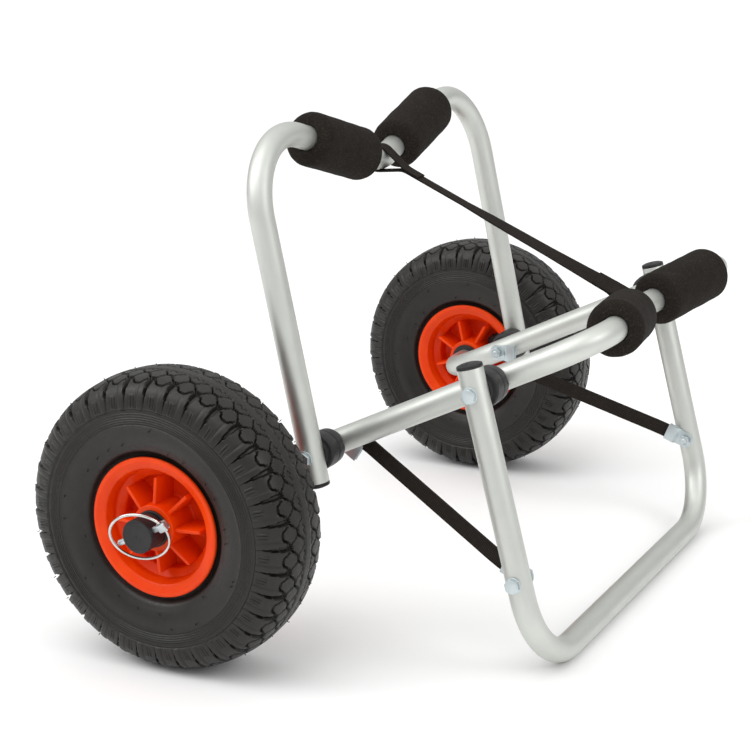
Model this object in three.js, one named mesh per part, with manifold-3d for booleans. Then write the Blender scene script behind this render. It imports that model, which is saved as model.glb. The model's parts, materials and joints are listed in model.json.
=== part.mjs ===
import * as THREE from 'three';
import { mergeVertices } from 'three/addons/utils/BufferGeometryUtils.js';
import Module from 'manifold-3d';

// A folding two-wheeled cart for a kayak. X runs from the wheels towards the stand, Y along the axle
// with the left side at +Y, and Z up. Lengths are in millimetres and angles in degrees.
const wasm = await Module();
wasm.setup();

// Driving dimensions
const clearance = 0.3;
const tubeDiameter = 22;
const tubeWall = 1.5;
const bendStepAngle = 15;

const wheelDiameter = 260;
const tyreWidth = 82;

const mainSpacing = 364;
const mainLength = 370;
const mainRise = 25.7;
const mainDip = 43.5;
const mainCornerRadius = 42;
const axleBendRadius = 88;
const dipBendRadius = 60;

const knuckleWidth = 19;
const cradleInset = 6;
const cradleLength = 292;
const cradleTail = 24;
const cradleLean = 11.8;
const cradleDip = 65;
const cradleCornerRadius = 65;

const standInset = 104.5;
const standLean = 14.1;
const standHead = 20.5;
const standCornerRadius = 65;
const strapBoltInset = 15.8;

const padDiameter = 49;
const padLength = 98;
const padPlace = 82;
const padRounding = 8;

const strapWidth = 15;
const strapThickness = 2;

// Sizes worked out from them
const tubeRadius = tubeDiameter / 2;
const boreRadius = tubeRadius - tubeWall;
const outerSides = 12;
const innerSides = 10;
const facetRadius = tubeRadius * Math.cos(Math.PI / outerSides);
const axleHeight = wheelDiameter / 2;
const mainHalf = mainSpacing / 2;
const outerHalf = mainHalf + tubeDiameter + knuckleWidth;
const rise = THREE.MathUtils.degToRad(mainRise);
const lean = THREE.MathUtils.degToRad(cradleLean);
const rake = THREE.MathUtils.degToRad(standLean);
const cradleReach = axleBendRadius + cradleInset;
const standReach = mainLength - standInset;
const standHeight = axleHeight + standReach * Math.sin(rise);
const standDrop = (standHeight - facetRadius) / Math.cos(rake);
const strapBoltReach = standDrop - standCornerRadius - strapBoltInset;
const sides = [['left', 1], ['right', -1]];
const overrun = 1;

// Finishes
function finish(color, roughness, metalness) {
  return new THREE.MeshStandardMaterial({ color, roughness, metalness });
}

const aluminium = finish('#c9cccb', 0.42, 0.85);
const foam = finish('#2c2927', 0.95, 0);
const blackPlastic = finish('#27292b', 0.5, 0);
const tyreRubber = finish('#32302d', 0.85, 0);
const rimPlastic = finish('#e8380d', 0.4, 0);
const tubeRubber = finish('#201f1e', 0.8, 0);
const zincSteel = finish('#bcc8cc', 0.38, 0.8);
const ringSteel = finish('#d9d9d6', 0.2, 0.9);
const webbing = finish('#231f1d', 0.9, 0);

// A curve with chosen stations, so that a straight takes one step and a bend several.
class Centreline extends THREE.Curve {
  constructor(stations) {
    super();
    this.stations = stations;
    this.steps = stations.length - 1;
  }

  getPointAt(share, target = new THREE.Vector3()) {
    return target.copy(this.stations[Math.round(share * this.steps)].point);
  }

  getTangentAt(share, target = new THREE.Vector3()) {
    return target.copy(this.stations[Math.round(share * this.steps)].tangent);
  }
}

// A centreline in the XY plane through corners [x, y, bend radius]; the two ends have no bend.
function centreline(corners) {
  const points = corners.map(([x, y]) => new THREE.Vector3(x, y, 0));
  const last = corners.length - 1;
  const stations = [];
  const addEnd = (point, from, to) => stations.push({ point, tangent: to.clone().sub(from).normalize() });
  addEnd(points[0], points[0], points[1]);
  for (let i = 1; i < last; i += 1) {
    const incoming = points[i].clone().sub(points[i - 1]).normalize();
    const outgoing = points[i + 1].clone().sub(points[i]).normalize();
    const radius = corners[i][2];
    const turn = incoming.angleTo(outgoing);
    const start = points[i].clone().addScaledVector(incoming, -radius * Math.tan(turn / 2));
    const inward = outgoing.clone().addScaledVector(incoming, -outgoing.dot(incoming)).normalize();
    const centre = start.clone().addScaledVector(inward, radius);
    const steps = Math.ceil(turn / THREE.MathUtils.degToRad(bendStepAngle));
    for (let k = 0; k <= steps; k += 1) {
      const angle = (turn * k) / steps;
      const point = centre.clone()
        .addScaledVector(inward, -radius * Math.cos(angle))
        .addScaledVector(incoming, radius * Math.sin(angle));
      const tangent = incoming.clone()
        .multiplyScalar(Math.cos(angle))
        .addScaledVector(inward, Math.sin(angle));
      stations.push({ point, tangent });
    }
  }
  addEnd(points[last], points[last - 1], points[last]);
  return new Centreline(stations);
}

function polygon(radius, count, turn = 0) {
  return Array.from({ length: count }, (_, k) => {
    const angle = turn + (2 * Math.PI * k) / count;
    return new THREE.Vector2(radius * Math.cos(angle), radius * Math.sin(angle));
  });
}

// A bar swept along a centreline, hollow where a bore is given.
function sweep(path, radius, bore, turn = 0) {
  const section = new THREE.Shape(polygon(radius, outerSides, turn));
  if (bore) {
    section.holes.push(new THREE.Path(polygon(bore / Math.cos(Math.PI / innerSides), innerSides, turn)));
  }
  return new THREE.ExtrudeGeometry(section, { extrudePath: path, steps: path.steps, bevelEnabled: false });
}

// A turned piece about the Y axis from [radius, y] points. It closes on the axis or on itself.
function turned(profile, segments) {
  const points = profile.map(([radius, y]) => new THREE.Vector2(radius, y));
  if (THREE.ShapeUtils.area(points) < 0) {
    points.reverse();
  }
  if (points[0].x > 0 || points.at(-1).x > 0) {
    points.push(points[0].clone());
  }
  return new THREE.LatheGeometry(points, segments);
}

// A flat outline of [x, y] points given a thickness, centred on the XY plane.
function plate(outline, thickness) {
  const shape = new THREE.Shape(outline.map(([x, y]) => new THREE.Vector2(x, y)));
  const geometry = new THREE.ExtrudeGeometry(shape, { depth: thickness, bevelEnabled: false });
  return geometry.translate(0, 0, -thickness / 2);
}

function solid(geometry) {
  const bare = geometry.clone();
  bare.deleteAttribute('normal');
  bare.deleteAttribute('uv');
  const merged = mergeVertices(bare);
  const corners = Array.from({ length: merged.index.count / 3 }, (_, k) => (
    [0, 1, 2].map((i) => merged.index.getX(3 * k + i))
  ));
  const faces = corners.filter((face) => new Set(face).size === 3);
  return new wasm.Manifold(new wasm.Mesh({
    numProp: 3,
    vertProperties: new Float32Array(merged.attributes.position.array),
    triVerts: new Uint32Array(faces.flat()),
  }));
}

function surface(manifold) {
  const mesh = manifold.getMesh();
  const geometry = new THREE.BufferGeometry();
  geometry.setAttribute('position', new THREE.BufferAttribute(mesh.vertProperties, 3));
  geometry.setIndex(new THREE.BufferAttribute(mesh.triVerts, 1));
  geometry.computeVertexNormals();
  return geometry;
}

// A bar along Y between two places on its axis, round or with few sides.
function bar(radius, from, to, segments) {
  return new THREE.CylinderGeometry(radius, radius, to - from, segments).translate(0, (from + to) / 2, 0);
}

function piece(parent, name, geometry, material, x = 0, y = 0, z = 0) {
  const mesh = new THREE.Mesh(geometry, material.clone());
  mesh.name = name;
  mesh.position.set(x, y, z);
  parent.add(mesh);
  return mesh;
}

function group(parent, x, z, elevation) {
  const made = new THREE.Group();
  made.position.set(x, 0, z);
  made.rotation.y = -elevation;
  parent.add(made);
  return made;
}

// The three frames lie in tilted planes. In each plane X runs along the arms and Y across.
const cart = new THREE.Group();
const main = group(cart, 0, axleHeight, rise);
const cradle = group(main, cradleReach, 0, Math.PI / 2 + lean - rise);
const stand = group(main, standReach, 0, rake - Math.PI / 2 - rise);

// Fasteners: hexagon bolts with a washer face, and hexagon nuts
const bolt = { radius: 3, headAcross: 11, headHeight: 4, washerRadius: 7, washerThickness: 1.2, tip: 1.4 };
const nut = { across: 10, height: 5 };
const hexSides = 6;
const shankSides = 10;
const boltHole = bolt.radius + clearance;
const hexRadius = (across) => across / Math.sqrt(3);

// A bolt along Y whose washer bears at y = seat and whose shank ends at y = end.
function hexBolt(seat, end) {
  const washerTop = seat + bolt.washerThickness;
  const shank = turned([
    [0, end],
    [bolt.radius - bolt.tip / 2, end],
    [bolt.radius, end + bolt.tip / 2],
    [bolt.radius, seat],
    [bolt.washerRadius, seat],
    [bolt.washerRadius, washerTop],
    [0, washerTop],
  ], shankSides);
  const headFoot = washerTop - bolt.washerThickness / 2;
  const head = bar(hexRadius(bolt.headAcross), headFoot, washerTop + bolt.headHeight, hexSides);
  return surface(solid(shank).add(solid(head)));
}

function hexNut(from) {
  const body = bar(hexRadius(nut.across), from, from + nut.height, hexSides);
  const bore = bar(boltHole, from - overrun, from + nut.height + overrun, shankSides);
  return surface(solid(body).subtract(solid(bore)));
}

// Frame tubes, drilled right across for their bolts
function drilled(path, turn, half, ...reaches) {
  const tube = solid(sweep(path, tubeRadius, boreRadius, turn));
  const end = half + tubeDiameter;
  return reaches.reduce((left, reach) => (
    left.subtract(solid(bar(boltHole, -end, end, shankSides).translate(reach, 0, 0)))
  ), tube);
}

function uFrame(length, half, dip, cornerRadius, ends) {
  const middle = dip ? [[length - dip, 0, dipBendRadius]] : [];
  return centreline([
    ...ends(-1),
    [length, -half, cornerRadius],
    ...middle,
    [length, half, cornerRadius],
    ...ends(1).reverse(),
  ]);
}

// Each hub fills the axle between its bend and the cap on its end, but for a little play
const cap = { radius: 14.5, length: 20, face: 1.8, chamfer: 0.8 };
const rim = {
  lip: 61, lipInner: 57, seat: 51.5, well: 44, wall: 3.2, width: 65.2, lipThickness: 3.6, step: 5,
  wellWidth: 28, ramp: 4, boss: 20, bossWidth: 66, web: 5, bore: 14.3,
};
const bushing = { flange: 16, flangeThickness: 2.2, depth: 25 };
const hub = { bendGap: 3, play: 0.7 };
const hubHalf = rim.bossWidth / 2 + clearance + bushing.flangeThickness;
const wheelHalf = mainHalf + axleBendRadius + hub.bendGap + hubHalf;
const capOuter = wheelHalf + hubHalf + hub.play + cap.length;

// Linch pins cross the axle ends along the arms, each with a ring hinged in the lug at its upper end
const tubeEnd = capOuter - cap.face - clearance;
const pin = { radius: 2.75, inset: 7.2, upper: 19, lower: 26, tip: 1.5 };
const lug = { length: 9, width: 8, thickness: 7 };
const ring = { radius: 25, wire: 1.3, tilt: 30, segments: 24, sides: 6 };
const pinY = capOuter - pin.inset;
const pinHole = pin.radius + clearance;
const pinSides = 12;
const lugX = pin.upper + lug.length / 2;
const ringTilt = THREE.MathUtils.degToRad(ring.tilt);
const ringRest = Math.asin((pin.radius + ring.wire + clearance) / (lugX + pin.lower));
const ringSlack = ring.radius - Math.sqrt(ring.radius ** 2 - (lug.width / 2) ** 2);

function pinBore(reach) {
  const through = reach + overrun;
  return solid(bar(pinHole, -through, through, pinSides).rotateZ(-Math.PI / 2));
}

const mainPath = uFrame(mainLength, mainHalf, mainDip, mainCornerRadius, (side) => [
  [0, side * tubeEnd],
  [0, side * mainHalf, axleBendRadius],
]);
const cradlePath = uFrame(cradleLength, outerHalf, cradleDip, cradleCornerRadius, (side) => [
  [-cradleTail, side * outerHalf],
]);
const standPath = uFrame(standDrop, outerHalf, 0, standCornerRadius, (side) => [
  [-standHead, side * outerHalf],
]);

const mainTube = sides.reduce((left, [, side]) => (
  left.subtract(pinBore(tubeRadius).translate([0, side * pinY, 0]))
), drilled(mainPath, 0, mainHalf, cradleReach, standReach));
piece(main, 'main_frame', surface(mainTube), aluminium);
piece(cradle, 'cradle_frame', surface(drilled(cradlePath, 0, outerHalf, 0)), aluminium);

// The stand's section is turned so that one facet of its foot bar lies flat on the ground.
const footTurn = rake + Math.PI / outerSides;
piece(stand, 'stand_frame', surface(drilled(standPath, footTurn, outerHalf, 0, strapBoltReach)), aluminium);

// Foam pads on the bars, either side of each dip
const padSides = 18;
const padCornerSteps = 2;

function padGeometry() {
  const reach = padLength / 2 - padRounding;
  const radius = padDiameter / 2 - padRounding;
  const corner = Array.from({ length: padCornerSteps + 1 }, (_, k) => {
    const angle = (Math.PI / 2) * (k / padCornerSteps);
    return [radius + padRounding * Math.cos(angle), reach + padRounding * Math.sin(angle)];
  });
  const half = [...corner, [tubeRadius + clearance, padLength / 2]];
  return turned([...half, ...half.map(([out, y]) => [out, -y]).reverse()], padSides);
}

function addPads(frame, name, length, half, dip) {
  const slope = Math.atan2(dip, half);
  sides.forEach(([label, side]) => {
    const x = length - dip + padPlace * Math.sin(slope);
    const pad = piece(frame, `${name}_pad_${label}`, padGeometry(), foam, x, side * padPlace * Math.cos(slope));
    pad.rotation.z = -side * slope;
  });
}
addPads(main, 'main', mainLength, mainHalf, mainDip);
addPads(cradle, 'cradle', cradleLength, outerHalf, cradleDip);

// Knuckles: two saddle halves between a main arm and the arm pivoted on it
const saddle = { radius: 16.5, wrap: 5.5, chamfer: 1.2, sides: 20 };

function saddleHalf(inner, outer, tube) {
  const small = saddle.radius - saddle.chamfer;
  const step = Math.sign(outer - inner) * saddle.chamfer;
  const disc = turned([
    [0, inner],
    [saddle.radius, inner],
    [saddle.radius, outer - step],
    [small, outer],
    [0, outer],
  ], saddle.sides);
  const [low, high] = [inner, outer].sort((a, b) => a - b);
  const bore = bar(boltHole, low - overrun, high + overrun, shankSides);
  return surface(solid(disc).subtract(tube).subtract(solid(bore)));
}

const gripRadius = tubeRadius + clearance / Math.cos(Math.PI / outerSides);
const mainGrip = solid(sweep(mainPath, gripRadius, 0));
const armGrip = (path, turn) => solid(sweep(path, gripRadius, 0, turn));
const knuckleMiddle = mainHalf + tubeRadius + knuckleWidth / 2;
const innerSeat = mainHalf + tubeRadius - saddle.wrap;
const outerSeat = outerHalf - tubeRadius + saddle.wrap;

function addKnuckles(name, arm, armPath, turn, reach) {
  const onMain = mainGrip.translate([-reach, 0, 0]);
  const onArm = armGrip(armPath, turn);
  sides.forEach(([label, side]) => {
    const inner = saddleHalf(side * innerSeat, side * (knuckleMiddle - clearance / 2), onMain);
    const outer = saddleHalf(side * outerSeat, side * (knuckleMiddle + clearance / 2), onArm);
    piece(main, `${name}_knuckle_inner_${label}`, inner, blackPlastic, reach);
    piece(arm, `${name}_knuckle_outer_${label}`, outer, blackPlastic);
  });
}
addKnuckles('cradle', cradle, cradlePath, 0, cradleReach);
addKnuckles('stand', stand, standPath, footTurn, standReach);

// Strap clips: folded sheet with an eye under a nut and a slot that grips the strap's end
const clip = { sheet: 1.2, eye: 8, length: 21, width: 17, shoulder: 12, slotStart: 12.5, step: 3 };
const slotHeight = strapThickness + 2 * clearance;
const clipEyeHeight = 2 * clip.sheet;
const clipHeight = clipEyeHeight + slotHeight;

// Pivot bolts and strap bolts; every nut lies on the inner side of its tube
const headSeat = outerHalf + tubeRadius + clearance;
const mainInside = mainHalf - tubeRadius - clearance;
const standInside = outerHalf - tubeRadius - clearance;

function addBolt(parent, name, label, side, reach, under) {
  const nutTop = under - nut.height;
  const bolted = new THREE.Group();
  bolted.position.x = reach;
  bolted.rotation.x = side > 0 ? 0 : Math.PI;
  parent.add(bolted);
  piece(bolted, `${name}_bolt_${label}`, hexBolt(headSeat, nutTop - bolt.tip), zincSteel);
  piece(bolted, `${name}_nut_${label}`, hexNut(nutTop), zincSteel);
}
sides.forEach(([label, side]) => {
  const underClip = clipEyeHeight + clearance;
  addBolt(main, 'cradle_pivot', label, side, cradleReach, mainInside - underClip);
  addBolt(main, 'stand_pivot', label, side, standReach, mainInside);
  addBolt(stand, 'strap', label, side, strapBoltReach, standInside - underClip);
});

// End plugs in the open tube ends
const plug = { depth: 14, rim: 2.5, dome: 2, shoulderShare: 0.75, riseShare: 0.7 };

function plugGeometry() {
  const top = clearance + plug.rim;
  const shaft = boreRadius - clearance;
  return turned([
    [0, -plug.depth],
    [shaft, -plug.depth],
    [shaft, clearance],
    [tubeRadius, clearance],
    [tubeRadius, top],
    [tubeRadius * plug.shoulderShare, top + plug.dome * plug.riseShare],
    [0, top + plug.dome],
  ], innerSides);
}

function addPlugs(frame, name, tail) {
  sides.forEach(([label, side]) => {
    const made = piece(frame, `${name}_plug_${label}`, plugGeometry(), blackPlastic, -tail, side * outerHalf);
    made.rotation.z = Math.PI / 2;
  });
}
addPlugs(cradle, 'cradle', cradleTail);
addPlugs(stand, 'stand', standHead);

// Wheels: an air-filled tyre with its tube on a ribbed plastic rim, running on two flanged bushings
const tyreSegments = 32;
const rimSegments = 24;
const bushSegments = 16;
const rib = { count: 8, thickness: 3, inset: 2.5, taper: 5 };
const rimTurns = { left: 17.5, right: 0 };
const valve = { offset: 11, stem: 4, bore: 2, foot: 47, end: 31, capRadius: 5, capLength: 9, dome: 2 };
const innerTubeWall = 1.5;
const tyreSeat = rim.seat + clearance;
const tyreHeight = wheelDiameter / 2 - tyreSeat;

// Half of the tyre's section from bead to tread, as shares of half its width and of its height
const tyreOuterShares = [
  [0.7, 0], [0.7, 0.135], [0.86, 0.22], [1, 0.48], [0.975, 0.69], [0.86, 0.868], [0.5, 0.978],
];
const tyreInnerShares = [[0.58, 0], [0.58, 0.16], [0.86, 0.38], [0.87, 0.62], [0.68, 0.85]];
const crownShare = 0.92;
const tubeFitShare = 0.96;
const tubeFootShare = 0.3;

const sectionPoint = ([across, up]) => [tyreSeat + up * tyreHeight, (across * tyreWidth) / 2];
const mirrored = (half) => half.map(([radius, y]) => [radius, -y]);

function tyreGeometry() {
  const outer = tyreOuterShares.map(sectionPoint);
  const inner = tyreInnerShares.map(sectionPoint);
  const crown = sectionPoint([0, crownShare]);
  const tread = sectionPoint([0, 1]);
  return turned([
    ...mirrored(outer),
    tread,
    ...outer.toReversed(),
    ...inner,
    crown,
    ...mirrored(inner).toReversed(),
  ], tyreSegments);
}

function rimGeometry() {
  const face = rim.width / 2;
  const lipFoot = face - rim.lipThickness;
  const wellHalf = rim.wellWidth / 2;
  const inside = rim.seat - rim.wall;
  const half = [
    [rim.well, wellHalf],
    [rim.seat, wellHalf + rim.ramp],
    [rim.seat, lipFoot],
    [rim.lip, lipFoot],
    [rim.lip, face],
    [rim.lipInner, face],
    [inside, face - rim.step],
    [inside, wellHalf + rim.ramp],
    [rim.well - rim.wall, wellHalf],
    [rim.well - rim.wall, rim.web / 2],
    [rim.boss, rim.web / 2],
    [rim.boss, rim.bossWidth / 2],
    [rim.bore, rim.bossWidth / 2],
  ];
  const body = solid(turned([...half, ...mirrored(half).toReversed()], rimSegments));
  const from = (rim.bore + rim.boss) / 2;
  const to = rim.well - rim.wall / 2;
  const high = rim.bossWidth / 2 - rib.inset;
  const low = high - rib.taper;
  const blade = plate([[from, -high], [to, -low], [to, low], [from, high]], rib.thickness);
  const ribs = Array.from({ length: rib.count }, (_, k) => (
    solid(blade.clone().rotateY((2 * Math.PI * k) / rib.count))
  ));
  return ribs.reduce((left, next) => left.add(next), body);
}

function valveBar(radius, from, to, segments) {
  return solid(bar(radius, from, to, segments).rotateZ(-Math.PI / 2).translate(0, -valve.offset, 0));
}

// The inner tube fills the tyre; its stem leaves through the rim's well and is open along its bore.
function tubeGeometry() {
  const middle = tyreSeat + tyreHeight / 2;
  const shrunk = (share) => ([radius, y]) => [middle + (radius - middle) * share, y * share];
  const foot = [(rim.well + rim.seat) / 2, (tubeFootShare * tyreWidth) / 2];
  const half = [foot, ...tyreInnerShares.slice(1).map(sectionPoint).map(shrunk(tubeFitShare))];
  const crown = shrunk(tubeFitShare)(sectionPoint([0, crownShare]));
  const outline = [...mirrored(half), crown, ...half.toReversed()];
  const wallShare = 1 - (2 * innerTubeWall) / tyreHeight;
  const skin = solid(turned(outline, bushSegments));
  const air = solid(turned(outline.map(shrunk(wallShare)), bushSegments));
  const stem = valveBar(valve.stem, valve.end, (valve.foot + middle) / 2, shankSides);
  const bore = valveBar(valve.bore, valve.end - overrun, middle, shankSides);
  return surface(skin.add(stem).subtract(air).subtract(bore));
}

function valveCapGeometry() {
  const open = valve.end + valve.capLength / 2;
  const top = valve.end - valve.capLength / 2;
  const cup = turned([
    [valve.stem + clearance, open],
    [valve.capRadius, open],
    [valve.capRadius, top],
    [valve.capRadius - valve.dome, top - valve.dome],
    [0, top - valve.dome],
    [0, valve.end - clearance],
    [valve.stem + clearance, valve.end - clearance],
  ], shankSides);
  return cup.rotateZ(-Math.PI / 2).translate(0, -valve.offset, 0);
}

function bushingGeometry() {
  const face = rim.bossWidth / 2 + clearance;
  return turned([
    [tubeRadius + clearance, face + bushing.flangeThickness],
    [bushing.flange, face + bushing.flangeThickness],
    [bushing.flange, face],
    [rim.bore - clearance, face],
    [rim.bore - clearance, face - bushing.depth],
    [tubeRadius + clearance, face - bushing.depth],
  ], bushSegments);
}

sides.forEach(([label, side]) => {
  const wheel = new THREE.Group();
  wheel.position.set(0, side * wheelHalf, axleHeight);
  wheel.rotation.x = side > 0 ? 0 : Math.PI;
  cart.add(wheel);
  const rimTurn = THREE.MathUtils.degToRad(rimTurns[label]);
  const valveTurn = rimTurn + Math.PI / rib.count;
  const stemHole = valveBar(valve.stem + clearance, rim.boss + overrun, rim.seat, shankSides);
  const spokes = rimGeometry().subtract(stemHole.rotate([0, -180 / rib.count, 0]));
  piece(wheel, `tyre_${label}`, tyreGeometry(), tyreRubber);
  piece(wheel, `rim_${label}`, surface(spokes), rimPlastic).rotation.y = -rimTurn;
  piece(wheel, `inner_tube_${label}`, tubeGeometry(), tubeRubber).rotation.y = -valveTurn;
  piece(wheel, `valve_cap_${label}`, valveCapGeometry(), blackPlastic).rotation.y = -valveTurn;
  piece(wheel, `hub_bushing_outer_${label}`, bushingGeometry(), blackPlastic);
  piece(wheel, `hub_bushing_inner_${label}`, bushingGeometry(), blackPlastic).rotation.x = Math.PI;
});

// Axle caps over the tube ends, cross-drilled for the linch pins
function capGeometry() {
  const inner = capOuter - cap.length;
  const cup = turned([
    [tubeRadius + clearance, inner],
    [cap.radius, inner],
    [cap.radius, capOuter - cap.chamfer],
    [cap.radius - cap.chamfer, capOuter],
    [0, capOuter],
    [0, capOuter - cap.face],
    [tubeRadius + clearance, capOuter - cap.face],
  ], bushSegments);
  return surface(solid(cup).subtract(pinBore(cap.radius).translate([0, pinY, 0])));
}

function pinGeometry(side) {
  const shank = turned([
    [0, -pin.lower],
    [pin.radius - pin.tip / 2, -pin.lower],
    [pin.radius, pin.tip - pin.lower],
    [pin.radius, pin.upper + clearance],
    [0, pin.upper + clearance],
  ], pinSides).rotateZ(-Math.PI / 2);
  const block = new THREE.BoxGeometry(lug.length, lug.thickness, lug.width).translate(lugX, 0, 0);
  const eyeRadius = ring.wire + ringSlack + clearance;
  const eye = bar(eyeRadius, -lug.width, lug.width, pinSides).rotateX(Math.PI / 2).translate(lugX, 0, 0);
  const head = solid(block).subtract(solid(eye)).rotate([-side * ring.tilt, 0, 0]);
  return surface(solid(shank).add(head));
}

// The ring's hinge is the Z axis of its own frame, through the lug's eye.
function ringGeometry() {
  const wire = polygon(ring.wire, ring.sides).map(({ x, y }) => [ring.radius + x, y]);
  return turned(wire, ring.segments).translate(-ring.radius, 0, 0);
}

sides.forEach(([label, side]) => {
  const capped = piece(main, `axle_cap_${label}`, capGeometry(), blackPlastic);
  capped.rotation.x = side > 0 ? 0 : Math.PI;
  const held = new THREE.Group();
  held.position.set(0, side * pinY, 0);
  main.add(held);
  piece(held, `linch_pin_${label}`, pinGeometry(side), zincSteel);
  const hinge = new THREE.Group();
  hinge.position.x = lugX;
  hinge.rotation.x = -side * ringTilt;
  held.add(hinge);
  piece(hinge, `linch_ring_${label}`, ringGeometry(), ringSteel).rotation.z = -side * ringRest;
});

// Straps: one ties the two dips together, two run inside the arms from the pivots to the stand
const fold = { join: 30, tail: 16 };

function bandLoop(centreX, side, slack) {
  const holeRadius = tubeRadius + slack;
  const skinRadius = holeRadius + strapThickness;
  const arc = (radius, reach) => {
    const open = Math.acos(radius / reach);
    const steps = 12;
    return Array.from({ length: steps + 1 }, (_, k) => {
      const angle = open + ((2 * Math.PI - 2 * open) * k) / steps;
      return [centreX + side * radius * Math.cos(angle), radius * Math.sin(angle)];
    });
  };
  const hole = [[centreX + side * fold.join, 0], ...arc(holeRadius, fold.join)];
  return { hole, skin: arc(skinRadius, fold.join + skinRadius) };
}

function topStrapGeometry(length) {
  const sag = strapWidth ** 2 / (8 * dipBendRadius);
  const slack = 2 * clearance + sag;
  const near = bandLoop(0, 1, slack);
  const far = bandLoop(length, -1, slack);
  const joined = fold.join + fold.tail;
  const shape = new THREE.Shape([
    ...near.skin,
    [fold.join, -strapThickness],
    [length - fold.join, -strapThickness],
    ...far.skin.toReversed(),
    [length - fold.join, strapThickness],
    [length - joined, strapThickness],
    [length - joined, 0],
    [joined, 0],
    [joined, strapThickness],
    [fold.join, strapThickness],
  ].map(([x, y]) => new THREE.Vector2(x, y)));
  shape.holes = [near, far].map(({ hole }) => (
    new THREE.Path(hole.map(([x, y]) => new THREE.Vector2(x, y)))
  ));
  const geometry = new THREE.ExtrudeGeometry(shape, { depth: strapWidth, bevelEnabled: false });
  return geometry.translate(0, 0, -strapWidth / 2).rotateX(Math.PI / 2);
}

// Where a point of a frame's plane lies in the cart
function place(frame, reach) {
  cart.updateMatrixWorld(true);
  return frame.localToWorld(new THREE.Vector3(reach, 0, 0));
}

function spanGroup(from, to) {
  const made = group(cart, from.x, from.z, Math.atan2(to.z - from.z, to.x - from.x));
  return [made, from.distanceTo(to)];
}

// The bend at a dip leaves its corner on the outer side.
function dipPlace(frame, length, half, dip) {
  const slope = Math.atan2(dip, half);
  return place(frame, length - dip + dipBendRadius * (1 / Math.cos(slope) - 1));
}

const [topSpan, topLength] = spanGroup(
  dipPlace(cradle, cradleLength, outerHalf, cradleDip),
  dipPlace(main, mainLength, mainHalf, mainDip),
);
piece(topSpan, 'top_strap', topStrapGeometry(topLength), webbing);

function clipGeometry() {
  const { sheet, eye, length, width, shoulder, slotStart, step } = clip;
  const edge = plate([
    [-eye, 0],
    [length, 0],
    [length, -sheet],
    [slotStart, -sheet],
    [slotStart, sheet - clipHeight],
    [length, sheet - clipHeight],
    [length, -clipHeight],
    [slotStart - sheet, -clipHeight],
    [slotStart - sheet - step, -clipEyeHeight],
    [-eye, -clipEyeHeight],
  ], width + overrun);
  const eyeSteps = 8;
  const round = Array.from({ length: eyeSteps + 1 }, (_, k) => {
    const angle = Math.PI / 2 + (Math.PI * k) / eyeSteps;
    return [eye * Math.cos(angle), eye * Math.sin(angle)];
  });
  const outline = plate([
    ...round,
    [shoulder, -width / 2],
    [length + overrun, -width / 2],
    [length + overrun, width / 2],
    [shoulder, width / 2],
  ], 2 * (clipHeight + overrun)).rotateX(Math.PI / 2);
  const hole = bar(boltHole, -clipHeight - overrun, overrun, shankSides);
  return surface(solid(edge).intersect(solid(outline)).subtract(solid(hole)));
}

// A lower strap leaves its front clip along the main arm's face and shifts out to the stand's leg.
function lowerStrapGeometry(length, shift, grips) {
  const middle = [
    [-grips.front, 0],
    [slotHeight, 0],
    [length - slotHeight, shift],
    [length + grips.rear, shift],
  ];
  const half = strapThickness / 2;
  return plate([
    ...middle.map(([x, y]) => [x, y - half]),
    ...middle.toReversed().map(([x, y]) => [x, y + half]),
  ], strapWidth);
}

// How far a strap that lies askew in a clip, by that angle, reaches into its slot
function grip(angle) {
  return clip.length - clip.slotStart - clearance - (strapWidth / 2) * Math.abs(Math.sin(angle));
}

// The straps hang slack, so each front clip has turned on its bolt, upwards where the turn is above zero.
const clipTurns = { left: 26, right: -10 };
const [lowerSpan, lowerLength] = spanGroup(place(main, cradleReach), place(stand, strapBoltReach));
sides.forEach(([label, side]) => {
  const turn = THREE.MathUtils.degToRad(clipTurns[label]);
  const rise = clip.length * Math.sin(turn);
  const start = clip.length * Math.cos(turn);
  const run = lowerLength - clip.length - start;
  const slope = Math.atan2(-rise, run);
  const strung = new THREE.Group();
  strung.rotation.x = side > 0 ? 0 : Math.PI;
  lowerSpan.add(strung);
  const grips = { front: grip(slope - turn), rear: grip(slope) };
  const band = lowerStrapGeometry(Math.hypot(run, rise), standInside - mainInside, grips);
  const webbed = piece(strung, `lower_strap_${label}`, band, webbing, start, mainInside - clipHeight / 2);
  webbed.position.z = side * rise;
  webbed.rotation.y = -side * slope;
  const front = piece(strung, `strap_clip_front_${label}`, clipGeometry(), zincSteel, 0, mainInside);
  front.rotation.y = -side * turn;
  const rear = piece(strung, `strap_clip_rear_${label}`, clipGeometry(), zincSteel, lowerLength, standInside);
  rear.rotation.y = Math.PI;
});

// The origin lies on the ground under the middle of the whole cart.
const bounds = new THREE.Box3().setFromObject(cart, true);
cart.position.x = -(bounds.min.x + bounds.max.x) / 2;
cart.updateMatrixWorld(true);

export default cart;
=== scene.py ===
import json
import math

import bmesh
import bpy
import numpy as np
from mathutils import Matrix, Vector, noise


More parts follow.
